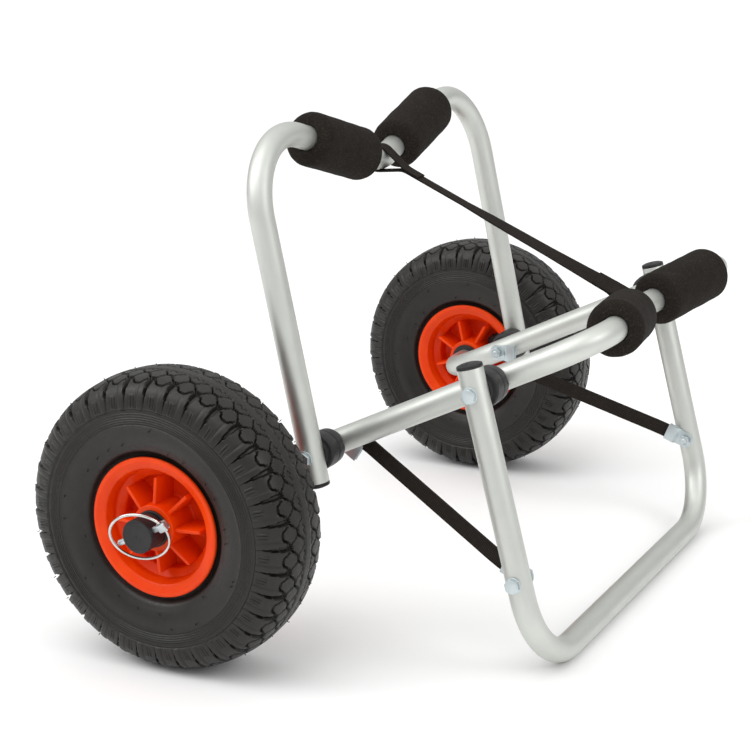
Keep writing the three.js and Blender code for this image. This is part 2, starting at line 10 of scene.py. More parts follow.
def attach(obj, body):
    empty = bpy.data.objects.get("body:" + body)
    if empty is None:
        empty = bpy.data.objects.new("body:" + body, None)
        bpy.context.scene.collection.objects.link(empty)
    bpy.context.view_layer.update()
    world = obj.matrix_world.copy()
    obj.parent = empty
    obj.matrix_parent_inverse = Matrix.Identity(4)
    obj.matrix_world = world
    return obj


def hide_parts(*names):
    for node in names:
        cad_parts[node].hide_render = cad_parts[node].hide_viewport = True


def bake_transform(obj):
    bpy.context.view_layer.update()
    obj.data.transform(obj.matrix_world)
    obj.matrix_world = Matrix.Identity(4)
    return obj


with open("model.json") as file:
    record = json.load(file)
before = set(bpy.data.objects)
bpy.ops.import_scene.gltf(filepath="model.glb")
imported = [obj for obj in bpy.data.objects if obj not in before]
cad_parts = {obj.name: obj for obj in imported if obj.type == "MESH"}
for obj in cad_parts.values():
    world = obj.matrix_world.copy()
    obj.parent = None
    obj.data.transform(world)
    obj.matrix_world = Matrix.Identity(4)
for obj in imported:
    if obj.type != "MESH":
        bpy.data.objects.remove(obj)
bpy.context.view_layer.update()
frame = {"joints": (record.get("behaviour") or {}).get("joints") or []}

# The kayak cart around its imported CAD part, in millimetres, with the driving dimensions repeated here.
# Matrices, meshes and the frame's joints are in metres.
MM = 0.001
CLEARANCE = 0.3
TUBE = 11
TUBE_BORE = 9.5
MAIN_HALF = 182
OUTER_HALF = 223
MAIN_LENGTH, MAIN_DIP, MAIN_CORNER, AXLE_BEND = 370, 43.5, 42, 88
CRADLE_LENGTH, CRADLE_TAIL, CRADLE_DIP, CRADLE_CORNER = 292, 24, 65, 65
STAND_HEAD, STAND_CORNER = 20.5, 65
DIP_BEND = 60
STRAP_BOLT_REACH = 161
CRADLE_LEAN, STAND_RAKE = math.radians(11.8), math.radians(14.1)
CAP_OUTER, CAP_WALL = 364.7, 1.8
SIDES = (("left", 1), ("right", -1))
QUARTER = math.pi / 2

# The camera fitted to the photo: focal length in pixels, turns in degrees, place from the axle's middle
PHOTO_SIDE = 750
FOCAL_LENGTH = 1766.5
SENSOR = 36
CAMERA_AZIMUTH, CAMERA_ELEVATION, CAMERA_ROLL = (math.radians(turn) for turn in (27.924, 15.064, -0.810))
CAMERA_PLACE = (811.3, -1475.3, 630.9)
FLOOR_REACH, FLOOR_GREY = 14, 246.987

joints = {joint["name"]: joint for joint in frame["joints"]}
axle = Vector(joints["wheel_left_spin"]["pos_m"])
wheel_half = axle.y / MM
axle.y = 0
cradle_pivot = Vector(joints["cradle_fold"]["pos_m"])
stand_pivot = Vector(joints["stand_fold"]["pos_m"])
rise = math.atan2(cradle_pivot.z - axle.z, cradle_pivot.x - axle.x)
cradle_reach = (cradle_pivot - axle).length / MM
stand_reach = (stand_pivot - axle).length / MM
stand_drop = (stand_pivot.z / MM - TUBE) / math.cos(STAND_RAKE)


def at(x, y=0, z=0):
    return Matrix.Translation(Vector((x, y, z)) * MM)


def point_on(matrix, x):
    """The point that far along the matrix's X."""
    return (matrix @ at(x)).translation


def spin(angle, axis):
    return Matrix.Rotation(angle, 4, axis)


def facing(side):
    """Y points outwards on either side of the cart."""
    return Matrix.Identity(4) if side > 0 else spin(math.pi, "X")


def plane(origin, elevation):
    """A frame's plane: X runs along its arms at that elevation, and Y across the cart."""
    return Matrix.Translation(origin) @ spin(-elevation, "Y")


MAIN = plane(axle, rise)
CRADLE = plane(cradle_pivot, QUARTER + CRADLE_LEAN)
STAND = plane(stand_pivot, STAND_RAKE - QUARTER)


def node(tree, kind, inputs=None, **settings):
    """A new shader node with its settings; each input is linked to a socket or takes a value."""
    made = tree.nodes.new("ShaderNode" + kind)
    for label, value in settings.items():
        setattr(made, label, value)
    for label, value in (inputs or {}).items():
        if isinstance(value, bpy.types.NodeSocket):
            tree.links.new(value, made.inputs[label])
        else:
            made.inputs[label].default_value = value
    return made


def linear(red, green, blue):
    """A colour written as 0-255 values, in the linear values that a shader takes."""
    shares = [value / 255 for value in (red, green, blue)]
    return tuple(s / 12.92 if s <= 0.04045 else ((s + 0.055) / 1.055) ** 2.4 for s in shares) + (1,)


class Look:
    """A material of plain values under procedural detail, in 0-255 colours and in millimetres."""

    def __init__(self, name, color, roughness, metallic=0, uv=False, specular=0.5):
        self.material = bpy.data.materials.new(name)
        self.material.use_nodes = True
        self.tree = self.material.node_tree
        self.shader = self.tree.nodes["Principled BSDF"]
        self.shader.inputs["Base Color"].default_value = linear(*color)
        self.shader.inputs["Roughness"].default_value = roughness
        self.shader.inputs["Metallic"].default_value = metallic
        self.shader.inputs["Specular IOR Level"].default_value = specular
        self.map = "UV" if uv else "Object"
        self.normal = None

    def add(self, kind, inputs, output=0, **settings):
        return node(self.tree, kind, inputs, **settings).outputs[output]

    def stretched(self, scale):
        return self.add("Mapping", {"Vector": self.add("TexCoord", {}, self.map), "Scale": scale})

    def noise(self, size, detail=3, stretch=(1, 1, 1)):
        """Noise whose features are about that size across."""
        where = self.stretched([s / (size * MM) for s in stretch])
        return self.add("TexNoise", {"Scale": 1, "Detail": detail, "Vector": where}, "Fac")

    def cells(self, size):
        where = self.stretched([1 / (size * MM)] * 3)
        return self.add("TexVoronoi", {"Scale": 1, "Vector": where}, "Distance")

    def sine(self, length, direction):
        """A wave of that length along X or Y of the texture's coordinates."""
        inputs = {"Scale": math.pi / 10, "Distortion": 0, "Vector": self.stretched([1 / (length * MM)] * 3)}
        return self.add("TexWave", inputs, "Fac", bands_direction=direction, wave_profile="SIN")

    def ranged(self, value, low, high, from_low=0.3, from_high=0.7):
        labels = ("Value", "From Min", "From Max", "To Min", "To Max")
        return self.add("MapRange", dict(zip(labels, (value, from_low, from_high, low, high))))

    def combined(self, kind, first, second):
        return self.add("Math", {0: first, 1: second}, operation=kind)

    def tint(self, value, other):
        """The base colour goes towards another one where the value is high."""
        base = self.shader.inputs["Base Color"]
        before = base.links[0].from_socket if base.is_linked else base.default_value
        mixed = self.add("Mix", {0: value, 6: before, 7: linear(*other)}, 2, data_type="RGBA")
        self.tree.links.new(mixed, base)

    def patches(self, size, detail, share, color, band=(0.3, 0.7), stretch=(1, 1, 1)):
        """Soft patches that take up at most that share of another colour."""
        self.tint(self.ranged(self.noise(size, detail, stretch), 0, share, *band), color)

    def gloss(self, value, low, high):
        self.tree.links.new(self.ranged(value, low, high), self.shader.inputs["Roughness"])

    def bump(self, value, depth):
        inputs = {"Distance": depth * MM, "Height": value}
        if self.normal:
            inputs["Normal"] = self.normal
        self.normal = self.add("Bump", inputs)
        self.tree.links.new(self.normal, self.shader.inputs["Normal"])


def set_camera():
    """The camera of the photo."""
    scene = bpy.context.scene
    scene.view_settings.view_transform = "Standard"
    data = bpy.data.cameras.new("camera")
    data.sensor_width = SENSOR
    data.lens = SENSOR * FOCAL_LENGTH / PHOTO_SIDE
    data.clip_start, data.clip_end = 0.05, 60
    camera = bpy.data.objects.new("camera", data)
    spot = Matrix.Translation((axle.x, 0, 0)) @ at(*CAMERA_PLACE)
    camera.matrix_world = spot @ spin(CAMERA_AZIMUTH, "Z") @ spin(QUARTER - CAMERA_ELEVATION, "X") \
        @ spin(CAMERA_ROLL, "Z")
    scene.collection.objects.link(camera)
    scene.camera = camera


def lay_floor():
    """A pale matt floor, which shows the object's shadow."""
    reach = FLOOR_REACH
    corners = [(-reach, -reach, 0), (reach, -reach, 0), (reach, reach, 0), (-reach, reach, 0)]
    mesh = bpy.data.meshes.new("floor")
    mesh.from_pydata(corners, [], [(0, 1, 2, 3)])
    floor = bpy.data.objects.new("floor", mesh)
    bpy.context.scene.collection.objects.link(floor)
    look = Look("floor", (FLOOR_GREY, FLOOR_GREY, FLOOR_GREY), 1, specular=0)
    mesh.materials.append(look.material)


def light_world():
    """A white background, and a sky that is brighter overhead than at the horizon."""
    world = bpy.data.worlds.new("studio")
    bpy.context.scene.world = world
    world.use_nodes = True
    tree = world.node_tree
    tree.nodes.clear()
    direction = node(tree, "TexCoord").outputs["Generated"]
    height = node(tree, "SeparateXYZ", {0: direction}).outputs["Z"]
    share = node(tree, "Math", {0: height, 1: 0.5, 2: 0.5}, operation="MULTIPLY_ADD").outputs[0]
    ramp = node(tree, "ValToRGB", {0: share})
    horizon, overhead = ramp.color_ramp.elements
    horizon.position, horizon.color = 0.45, (0.36, 0.36, 0.365, 1)
    overhead.position, overhead.color = 1, (1.1, 1.1, 1.09, 1)
    light = node(tree, "Background", {"Color": ramp.outputs[0]}).outputs[0]
    seen = node(tree, "Background", {"Color": (1, 1, 1, 1)}).outputs[0]
    to_camera = node(tree, "LightPath").outputs["Is Camera Ray"]
    mixed = node(tree, "MixShader", {0: to_camera, 1: light, 2: seen}).outputs[0]
    node(tree, "OutputWorld", {0: mixed})


def lamp(name, kind, origin, aim, energy, size):
    """A sun of that angle or a square lamp of that side, turned towards the aim."""
    data = bpy.data.lights.new(name, kind)
    data.energy = energy
    if kind == "SUN":
        data.angle = size
    else:
        data.shape, data.size = "SQUARE", size
    made = bpy.data.objects.new(name, data)
    direction = Vector(aim) - Vector(origin)
    made.rotation_euler = direction.to_track_quat("-Z", "Y").to_euler()
    made.location = origin
    bpy.context.scene.collection.objects.link(made)


set_camera()
lay_floor()
light_world()
lamp("sun", "SUN", (-0.6, -1.6, 3.2), (0, 0, 0), 0.85, math.radians(50))
lamp("softbox_left", "AREA", (-2.2, -1.6, 2.0), (0, 0, 0.2), 22, 1.4)
lamp("softbox_right", "AREA", (2.4, -0.4, 1.8), (0, 0, 0.2), 14, 1.2)


def aluminium_tube(look):
    drawn = look.noise(0.25, 4, (0.006, 1, 1))
    cloud = look.noise(30, 4)
    look.tint(look.ranged(cloud, 0, 0.6), (200, 203, 199))
    look.patches(7, 6, 0.35, (218, 219, 214), stretch=(0.25, 1, 1))
    halves = (look.combined("MULTIPLY", fine, 0.5) for fine in (drawn, cloud))
    look.gloss(look.combined("ADD", *halves), 0.44, 0.58)
    look.bump(drawn, 0.02)


def foam(look):
    look.patches(0.9, 2, 0.8, (72, 66, 58), (0.55, 0.7))
    look.patches(12, 4, 0.5, (26, 23, 21))
    look.bump(look.noise(6, 3), 0.35)
    look.bump(look.cells(1.5), 0.22)


def black_plastic(look):
    look.gloss(look.noise(9, 4), 0.36, 0.54)
    look.patches(4, 5, 0.5, (42, 42, 43))
    look.bump(look.noise(0.5, 4), 0.05)


def zinc_steel(look):
    flakes = look.noise(1.4, 5)
    look.patches(6, 5, 0.5, (190, 203, 208))
    look.gloss(flakes, 0.36, 0.5)
    look.bump(flakes, 0.006)


def ring_steel(look):
    rubbed = look.noise(0.8, 5)
    look.patches(4, 4, 0.6, (196, 197, 196))
    look.gloss(rubbed, 0.12, 0.26)
    look.bump(rubbed, 0.01)


def rim_plastic(look):
    look.patches(16, 4, 0.6, (238, 74, 2))
    look.gloss(look.noise(5, 5), 0.3, 0.46)
    look.bump(look.noise(0.7, 3), 0.03)


def tyre_rubber(look):
    look.patches(9, 6, 0.6, (36, 32, 29))
    look.patches(1.6, 4, 0.35, (26, 24, 22), (0.45, 0.75))
    look.gloss(look.noise(3, 5), 0.34, 0.5)
    look.bump(look.noise(0.5, 5), 0.07)


def tube_rubber(look):
    bloom = look.noise(4, 5)
    look.tint(look.ranged(bloom, 0, 0.6), (44, 42, 41))
    look.gloss(bloom, 0.5, 0.72)
    look.bump(look.noise(0.6, 4), 0.04)


def webbing(look):
    weave = look.combined("MULTIPLY", look.sine(1.9, "Y"), look.sine(1.6, "X"))
    look.tint(look.ranged(weave, 0, 0.8, 0.1, 0.9), (66, 56, 46))
    look.patches(5, 5, 0.5, (22, 19, 18))
    look.bump(weave, 0.3)
    look.bump(look.noise(0.3, 3), 0.08)


def made_look(detail, name, *values, **settings):
    """A material with its plain values, then its detail."""
    look = Look(name, *values, **settings)
    detail(look)
    return name, look.material


LOOKS = dict((
    made_look(aluminium_tube, "aluminium_tube", (209, 211, 206), 0.5, 1, uv=True),
    made_look(foam, "foam", (34, 30, 27), 0.92, specular=0.12),
    made_look(black_plastic, "black_plastic", (33, 32, 33), 0.42, specular=0.35),
    made_look(zinc_steel, "zinc_steel", (206, 214, 216), 0.42, 1),
    made_look(ring_steel, "ring_steel", (216, 216, 212), 0.18, 1),
    made_look(rim_plastic, "rim_plastic", (228, 58, 0), 0.4, specular=0.22),
    made_look(tyre_rubber, "tyre", (24, 22, 20), 0.4, specular=0.4),
    made_look(tube_rubber, "tube_rubber", (30, 29, 28), 0.6),
    made_look(webbing, "webbing", (30, 26, 24), 0.8, uv=True, specular=0.15),
))


def smooth(mesh, angle):
    """Smooth shading, but for the edges that are sharper than the angle."""
    mesh.polygons.foreach_set("use_smooth", [True] * len(mesh.polygons))
    mesh.set_sharp_from_angle(angle=math.radians(angle))


def place(name, mesh, matrix, angle=35):
    smooth(mesh, angle)
    made = bpy.data.objects.new(name, mesh)
    bpy.context.scene.collection.objects.link(made)
    made.matrix_world = matrix
    return made


def cast(name, points, faces, matrix, uv=None, angle=35):
    """An object from points in its own coordinates; edges sharper than the angle stay sharp."""
    mesh = bpy.data.meshes.new(name)
    mesh.from_pydata([[value * MM for value in p] for p in points], [], faces)
    if uv is not None:
        layer = mesh.uv_layers.new(name="UVMap")
        corners = np.array([v for face in faces for v in face])
        layer.data.foreach_set("uv", (np.array(uv) * MM).astype(np.float32)[corners].ravel())
    made = place(name, mesh, matrix)
    clean(mesh, angle)
    return made


def clean(mesh, angle=35):
    work = bmesh.new()
    work.from_mesh(mesh)
    bmesh.ops.remove_doubles(work, verts=work.verts, dist=1e-7)
    bmesh.ops.dissolve_degenerate(work, edges=work.edges, dist=1e-8)
    bmesh.ops.recalc_face_normals(work, faces=work.faces)
    work.to_mesh(mesh)
    work.free()
    smooth(mesh, angle)


def put(piece, body, slot, *nodes):
    """The piece moves with the body, takes its finish from the slot and stands for the nodes."""
    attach(piece, body)
    dress(piece, slot, *nodes)


def stand_in(piece, body, slot):
    """The same for a piece named after the node that it stands for, with a word of its own behind."""
    put(piece, body, slot, piece.name.rsplit("_", 1)[0])


def dress(piece, slot, *nodes):
    piece.data.materials.clear()
    piece.data.materials.append(LOOKS[slot])
    if nodes:
        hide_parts(*nodes)


def rounded(corners, steps=4):
    """A profile of [a, b, fillet radius] corners with its fillets drawn."""
    points = [np.array(c[:2], dtype=float) for c in corners]
    out = []
    for i, corner in enumerate(corners):
        radius = corner[2] if len(corner) > 2 else 0
        if radius == 0 or i in (0, len(corners) - 1):
            out.append(points[i])
            continue
        before, after = points[i - 1] - points[i], points[i + 1] - points[i]
        reach_a, reach_b = np.linalg.norm(before), np.linalg.norm(after)
        before, after = before / reach_a, after / reach_b
        half = math.acos(max(-1, min(1, float(before @ after)))) / 2
        cut = min(radius / math.tan(half), 0.49 * reach_a, 0.49 * reach_b)
        radius = cut * math.tan(half)
        middle = (before + after) / np.linalg.norm(before + after)
        centre = points[i] + middle * radius / math.sin(half)
        start, end = points[i] + before * cut - centre, points[i] + after * cut - centre
        sweep_angle = math.pi - 2 * half
        for k in range(steps + 1):
            share = k / steps
            weights = (math.sin((1 - share) * sweep_angle), math.sin(share * sweep_angle))
            out.append(centre + (start * weights[0] + end * weights[1]) / math.sin(sweep_angle))
    return out


def lathe(name, corners, segments, matrix, steps=4, angle=35):
    """A turned piece about Y from [radius, y, fillet] corners, which closes on the axis or on itself."""
    profile = rounded(corners, steps)
    on_axis = profile[0][0] < 1e-7
    angles = np.arange(segments) * 2 * math.pi / segments
    rings = np.array([[(r * math.cos(a), y, r * math.sin(a)) for a in angles] for r, y in profile])
    count = len(profile)
    last = count - 1 if on_axis else count
    faces = []
    for i in range(last):
        j = (i + 1) % count
        for k in range(segments):
            m = (k + 1) % segments
            faces.append((i * segments + k, j * segments + k, j * segments + m, i * segments + m))
    return cast(name, rings.reshape(-1, 3), faces, matrix, angle=angle)


def drum(name, radius, low, high, matrix, segments=48):
    """A plain cylinder about Y."""
    return lathe(name, [(0, low), (radius, low), (radius, high), (0, high)], segments, matrix)


def filleted(corners, degrees=4):
    """Stations (point, tangent) along a path through [x, y, bend radius] corners in a plane."""
    points = [np.array(c[:2], dtype=float) for c in corners]
    first = points[1] - points[0]
    stations = [(points[0], first / np.linalg.norm(first))]
    for i in range(1, len(points) - 1):
        incoming = points[i] - points[i - 1]
        outgoing = points[i + 1] - points[i]
        incoming, outgoing = incoming / np.linalg.norm(incoming), outgoing / np.linalg.norm(outgoing)
        radius = corners[i][2]
        turn = math.acos(float(incoming @ outgoing))
        start = points[i] - incoming * radius * math.tan(turn / 2)
        inward = outgoing - incoming * float(outgoing @ incoming)
        inward /= np.linalg.norm(inward)
        centre = start + inward * radius
        steps = max(2, math.ceil(math.degrees(turn) / degrees))
        for k in range(steps + 1):
            a = turn * k / steps
            stations.append((
                centre - inward * radius * math.cos(a) + incoming * radius * math.sin(a),
                incoming * math.cos(a) + inward * math.sin(a),
            ))
    last = points[-1] - points[-2]
    stations.append((points[-1], last / np.linalg.norm(last)))
    return stations


def swept(name, stations, matrix, sides=48):
    """A bar along stations (point, tangent, radius) with open ends; u and v of its map are metres."""
    angles = np.arange(sides + 1) * 2 * math.pi / sides
    points, uv, length = [], [], 0
    previous = stations[0][0]
    for point, tangent, radius in stations:
        length += float(np.linalg.norm(point - previous))
        previous = point
        side = np.array((-tangent[1], tangent[0]))
        for a in angles:
            offset = side * radius * math.cos(a)
            points.append((point[0] + offset[0], point[1] + offset[1], radius * math.sin(a)))
            uv.append((length, a * TUBE))
    row = sides + 1
    faces = [
        (i * row + k, (i + 1) * row + k, (i + 1) * row + k + 1, i * row + k + 1)
        for i in range(len(stations) - 1) for k in range(sides)
    ]
    return cast(name, points, faces, matrix, uv, 40)


def tube(name, corners, matrix):
    """A frame tube with its bends, and each end cut square with a softened rim and open bore."""
    lip, depth = 0.35, 5
    rims = (
        (depth, TUBE_BORE), (lip, TUBE_BORE), (0, TUBE_BORE + lip),
        (0, TUBE - lip), (0.3 * lip, TUBE - 0.3 * lip), (lip, TUBE),
    )
    (first, inward), *bends, (last, outward) = filleted(corners)
    stations = [(first + inward * along, inward, radius) for along, radius in rims]
    stations += [(point, tangent, TUBE) for point, tangent in bends]
    stations += [(last - outward * along, outward, radius) for along, radius in reversed(rims)]
    return swept(name, stations, matrix)


def u_corners(length, half, dip, corner, ends):
    """The corners of a U whose crossbar may dip; ends(side) gives those of one arm from its open end."""
    middle = [(length - dip, 0, DIP_BEND)] if dip else []
    return [*ends(-1), (length, -half, corner), *middle, (length, half, corner), *reversed(ends(1))]


def build_frames():
    axle_end = CAP_OUTER - CAP_WALL - CLEARANCE
    frames = (
        ("main", "frame", MAIN, (MAIN_LENGTH, MAIN_HALF, MAIN_DIP, MAIN_CORNER),
         lambda side: [(0, side * axle_end), (0, side * MAIN_HALF, AXLE_BEND)]),
        ("cradle", "cradle", CRADLE, (CRADLE_LENGTH, OUTER_HALF, CRADLE_DIP, CRADLE_CORNER),
         lambda side: [(-CRADLE_TAIL, side * OUTER_HALF)]),
        ("stand", "stand", STAND, (stand_drop, OUTER_HALF, 0, STAND_CORNER),
         lambda side: [(-STAND_HEAD, side * OUTER_HALF)]),
    )
    for name, body, frame_plane, sizes, ends in frames:
        bent = tube(f"{name}_tube", u_corners(*sizes, ends), frame_plane)
        put(bent, body, "aluminium_tube", f"{name}_frame")


build_frames()


def shaped(made, kind, others, angle=35):
    """The piece after a boolean with other objects, which go."""
    for other in others:
        modifier = made.modifiers.new("shape", "BOOLEAN")
        modifier.operation, modifier.object, modifier.solver = kind, other, "EXACT"
    bpy.context.view_layer.update()
    graph = bpy.context.evaluated_depsgraph_get()
    mesh = bpy.data.meshes.new_from_object(made.evaluated_get(graph))
    made.modifiers.clear()
    made.data = mesh
    for other in others:
        bpy.data.objects.remove(other)
    clean(mesh, angle)
    return made


def softened(made, width, segments=2, angle=30):
    """The piece with its sharp edges rounded."""
    modifier = made.modifiers.new("soften", "BEVEL")
    modifier.width, modifier.segments, modifier.limit_method = width * MM, segments, "ANGLE"
    modifier.angle_limit = math.radians(angle)
    modifier.harden_normals = False
    return shaped(made, "DIFFERENCE", [], angle=40)


def block(name, low, high, matrix):
    points = [(x, y, z) for x in (low[0], high[0]) for y in (low[1], high[1]) for z in (low[2], high[2])]
    faces = [(0, 1, 3, 2), (4, 6, 7, 5), (0, 4, 5, 1), (2, 3, 7, 6), (0, 2, 6, 4), (1, 5, 7, 3)]
    return cast(name, points, faces, matrix)


# M6 fasteners
BOLT, BOLT_CORE, BOLT_TIP, THREAD = 3, 2.55, 1.4, 1
WASHER_RADIUS, WASHER_BORE, WASHER_HEIGHT = 7, 3.2, 1.2
HEAD_ACROSS, HEAD_HEIGHT = 11, 4
NUT_ACROSS, NUT_HEIGHT, NUT_BORE = 10, 5, 3.1
HEXAGON_CHAMFER = 0.715
CLIP_EYE = 2.4


def hexagon(name, across, low, high, matrix, both_ends):
    """A hexagonal prism along Y whose corners are turned off at its high end or at both."""
    corner = across / math.sqrt(3)
    past, face = corner + 0.4, across / 2 - 0.1
    drop = (corner - across / 2) * HEXAGON_CHAMFER
    made = drum(name, corner, low, high, matrix, 6)
    start = [(0, low), (face, low), (past, low + drop)] if both_ends else [(0, low - 1), (past, low - 1)]
    turned = lathe("turned", start + [(past, high - drop), (face, high), (0, high)], 64, matrix)
    return shaped(made, "INTERSECT", [turned])


def threaded(nut_low, seat):
    """A shank's profile, whose thread runs from the tip into the nut."""
    end = nut_low - BOLT_TIP
    profile = [(0, end), (2.3, end, 0.2), (2.9, end + THREAD / 2)]
    along = end + THREAD / 2
    while along < nut_low + THREAD:
        crest = along + 0.9 * THREAD
        along += THREAD
        profile += [(BOLT_CORE, along - THREAD / 2), (BOLT, crest), (BOLT, along)]
    return profile + [(BOLT, seat), (0, seat)]


def build_bolt(name, body, matrix, seat, under):
    """A hexagon bolt with its washer outside, and its nut under the tube or clip; Y points outwards."""
    washer_top = seat + WASHER_HEIGHT
    washer = lathe(name + "_washer", [
        (WASHER_BORE, seat), (WASHER_RADIUS, seat, 0.3),
        (WASHER_RADIUS, washer_top, 0.4), (WASHER_BORE, washer_top)], 48, matrix)
    put(washer, body, "zinc_steel")
    head = hexagon(name + "_head", HEAD_ACROSS, washer_top, washer_top + HEAD_HEIGHT, matrix, False)
    stand_in(softened(head, 0.25), body, "zinc_steel")
    nut_low = under - NUT_HEIGHT
    put(lathe(name + "_shank", threaded(nut_low, seat), 32, matrix), body, "zinc_steel")
    nut = hexagon(name.replace("_bolt_", "_nut_") + "_hex", NUT_ACROSS, nut_low, under, matrix, True)
    shaped(nut, "DIFFERENCE", [drum("bore", NUT_BORE, nut_low - 1, under + 1, matrix, 32)])
    stand_in(softened(nut, 0.2), body, "zinc_steel")


def build_fasteners():
    seat = OUTER_HALF + TUBE + CLEARANCE
    main_inside = MAIN_HALF - TUBE - CLEARANCE
    under_clip = CLIP_EYE + CLEARANCE
    strap_inside = OUTER_HALF - TUBE - CLEARANCE - under_clip
    for label, side in SIDES:
        for name, body, origin, under in (
                ("cradle_pivot", "frame", MAIN @ at(cradle_reach), main_inside - under_clip),
                ("stand_pivot", "frame", MAIN @ at(stand_reach), main_inside),
                ("strap", "stand", STAND @ at(STRAP_BOLT_REACH), strap_inside)):
            build_bolt(f"{name}_bolt_{label}", body, origin @ facing(side), seat, under)


KNUCKLE, KNUCKLE_WRAP, KNUCKLE_GRIP = 16.5, 5.5, TUBE + 0.35


def build_knuckles():
    """Saddle halves: one sits on the main arm, the other on the arm that pivots there."""
    middle = (MAIN_HALF + OUTER_HALF) / 2
    inner_seat = MAIN_HALF + TUBE - KNUCKLE_WRAP
    outer_seat = OUTER_HALF - TUBE + KNUCKLE_WRAP
    inner_face, outer_face = middle - CLEARANCE / 2, middle + CLEARANCE / 2
    inner_half = [
        (0, inner_seat), (KNUCKLE - 3, inner_seat, 1.5),
        (KNUCKLE - 0.6, inner_seat + 4.5, 3), (KNUCKLE, middle - 3.2, 1.5),
        (KNUCKLE, inner_face, 0.5), (0, inner_face)]
    step = outer_seat - 3
    outer_half = [
        (0, outer_face), (KNUCKLE, outer_face, 0.5), (KNUCKLE, step - 1.2, 1.2),
        (KNUCKLE - 1.1, step, 0.5), (KNUCKLE - 4, step, 0.3),
        (KNUCKLE - 4.4, outer_seat, 0.6), (0, outer_seat)]
    for name, arm, reach in (("cradle", CRADLE, cradle_reach), ("stand", STAND, stand_reach)):
        for label, side in SIDES:
            on_main, on_arm = MAIN @ at(reach) @ facing(side), arm @ facing(side)
            for half, body, profile, matrix, tube_half, edge in (
                    ("inner", "frame", inner_half, on_main, MAIN_HALF, 0.35),
                    ("outer", name, outer_half, on_arm, OUTER_HALF, 0.3)):
                made = lathe(f"{name}_knuckle_{half}_{label}_half", profile, 96, matrix)
                groove = cylinder_x("cut", KNUCKLE_GRIP, 40, matrix @ at(0, tube_half))
                shaped(made, "DIFFERENCE", [groove])
                stand_in(softened(made, edge), body, "black_plastic")


def cylinder_x(name, radius, half, matrix, segments=96):
    return drum(name, radius, -half, half, matrix @ spin(-QUARTER, "Z"), segments)


PLUG_DEPTH, PLUG_SHAFT = 14, TUBE_BORE - 0.25


def build_plugs():
    """Ribbed caps in the open tube ends, each with a slot across its dome."""
    base = CLEARANCE * 0.4
    profile = [
        (0, -PLUG_DEPTH), (PLUG_SHAFT, -PLUG_DEPTH, 0.6), (PLUG_SHAFT, base),
        (TUBE - 0.1, base, 0.3), (TUBE + 0.1, base + 1.0, 0.3),
        (TUBE - 0.35, base + 1.35, 0.2), (TUBE + 0.05, base + 1.7, 0.3),
        (TUBE - 0.3, base + 3.0, 0.9), (TUBE * 0.62, base + 4.3, 4),
        (0, base + 4.6)]
    slot = Vector((TUBE * 0.55, 1, 0.55))
    slot_middle = Vector((0, base + 5, 0))
    for name, arm, tail in (("cradle", CRADLE, CRADLE_TAIL), ("stand", STAND, STAND_HEAD)):
        for label, side in SIDES:
            matrix = arm @ at(-tail, side * OUTER_HALF) @ spin(QUARTER, "Z")
            plug = lathe(f"{name}_plug_{label}_cap", profile, 64, matrix)
            shaped(plug, "DIFFERENCE", [block("cut", slot_middle - slot, slot_middle + slot, matrix)])
            stand_in(plug, name, "black_plastic")


PAD_REACH, PAD_OUTER, PAD_HOLE, PAD_EDGE, PAD_PLACE = 49, 24.5, TUBE + 0.15, 8, 82


def pad_profile():
    """Half a sleeve's section, with rounded outer corners and a chamfered hole."""
    straight = PAD_REACH - PAD_EDGE
    corner = [(PAD_OUTER - PAD_EDGE + PAD_EDGE * math.cos(a), straight + PAD_EDGE * math.sin(a))
              for a in np.linspace(0, QUARTER, 9)]
    profile = [(PAD_HOLE, -PAD_REACH + 3), (PAD_HOLE + 0.8, -PAD_REACH)]
    profile += [(r, -y) for r, y in reversed(corner)]
    profile += [(PAD_OUTER, y) for y in np.linspace(-straight, straight, 30)][1:-1] + corner
    return profile + [(PAD_HOLE + 0.8, PAD_REACH), (PAD_HOLE, PAD_REACH - 3)]


def build_pads():
    """Foam sleeves on the bars, a little uneven as cut foam is."""
    for name, body, frame_plane, length, half, dip in (
            ("main", "frame", MAIN, MAIN_LENGTH, MAIN_HALF, MAIN_DIP),
            ("cradle", "cradle", CRADLE, CRADLE_LENGTH, OUTER_HALF, CRADLE_DIP)):
        slope = math.atan2(dip, half)
        for label, side in SIDES:
            centre = at(length - dip + PAD_PLACE * math.sin(slope), side * PAD_PLACE * math.cos(slope))
            matrix = frame_plane @ centre @ spin(-side * slope, "Z")
            pad = lathe(f"{name}_pad_{label}_foam", pad_profile(), 128, matrix, angle=60)
            seed = Vector((3.1 * side, len(name) * 1.7, 0.4))
            for vertex in pad.data.vertices:
                here = vertex.co / MM
                away = Vector((here.x, 0, here.z))
                share = max(0.0, (away.length - PAD_HOLE) / (PAD_OUTER - PAD_HOLE))
                soft = noise.noise(here / 18 + seed) * 0.45
                soft += noise.noise(here / 3.2 + seed) * 0.14
                vertex.co = (here + away.normalized() * soft * share) * MM
            stand_in(pad, body, "foam")


build_fasteners()
build_knuckles()
build_plugs()
build_pads()


# The wheels: the tread's pattern and depths, the vents' rings and the turns of the rims
RIM_TURNS = {"left": math.radians(17.5), "right": 0}
PITCHES = 36
STEPS_A_PITCH = 24
PITCH = 22.34
DIAMOND, NODE, TOOTH = 17.0, 14.5, 0.95
GROOVE, GROOVE_DEPTH = 1.3, 2.9
BAND_EDGE, BLOCKS_EDGE, BELT_EDGE = 5.4, 31.0, 103.4
RIDGES = (90, 92, 94, 96, 98, 100)
VENT_RINGS = ((70.5, 36.3), (74.0, 38.0), (86.5, 40.7))


def wheel_matrix(side):
    return Matrix.Translation(axle) @ at(0, side * wheel_half) @ facing(side)


def ramp(value, low, high):
    """0 below low, 1 above high and smooth between."""
    share = np.clip((value - low) / (high - low), 0, 1)
    return share * share * (3 - 2 * share)


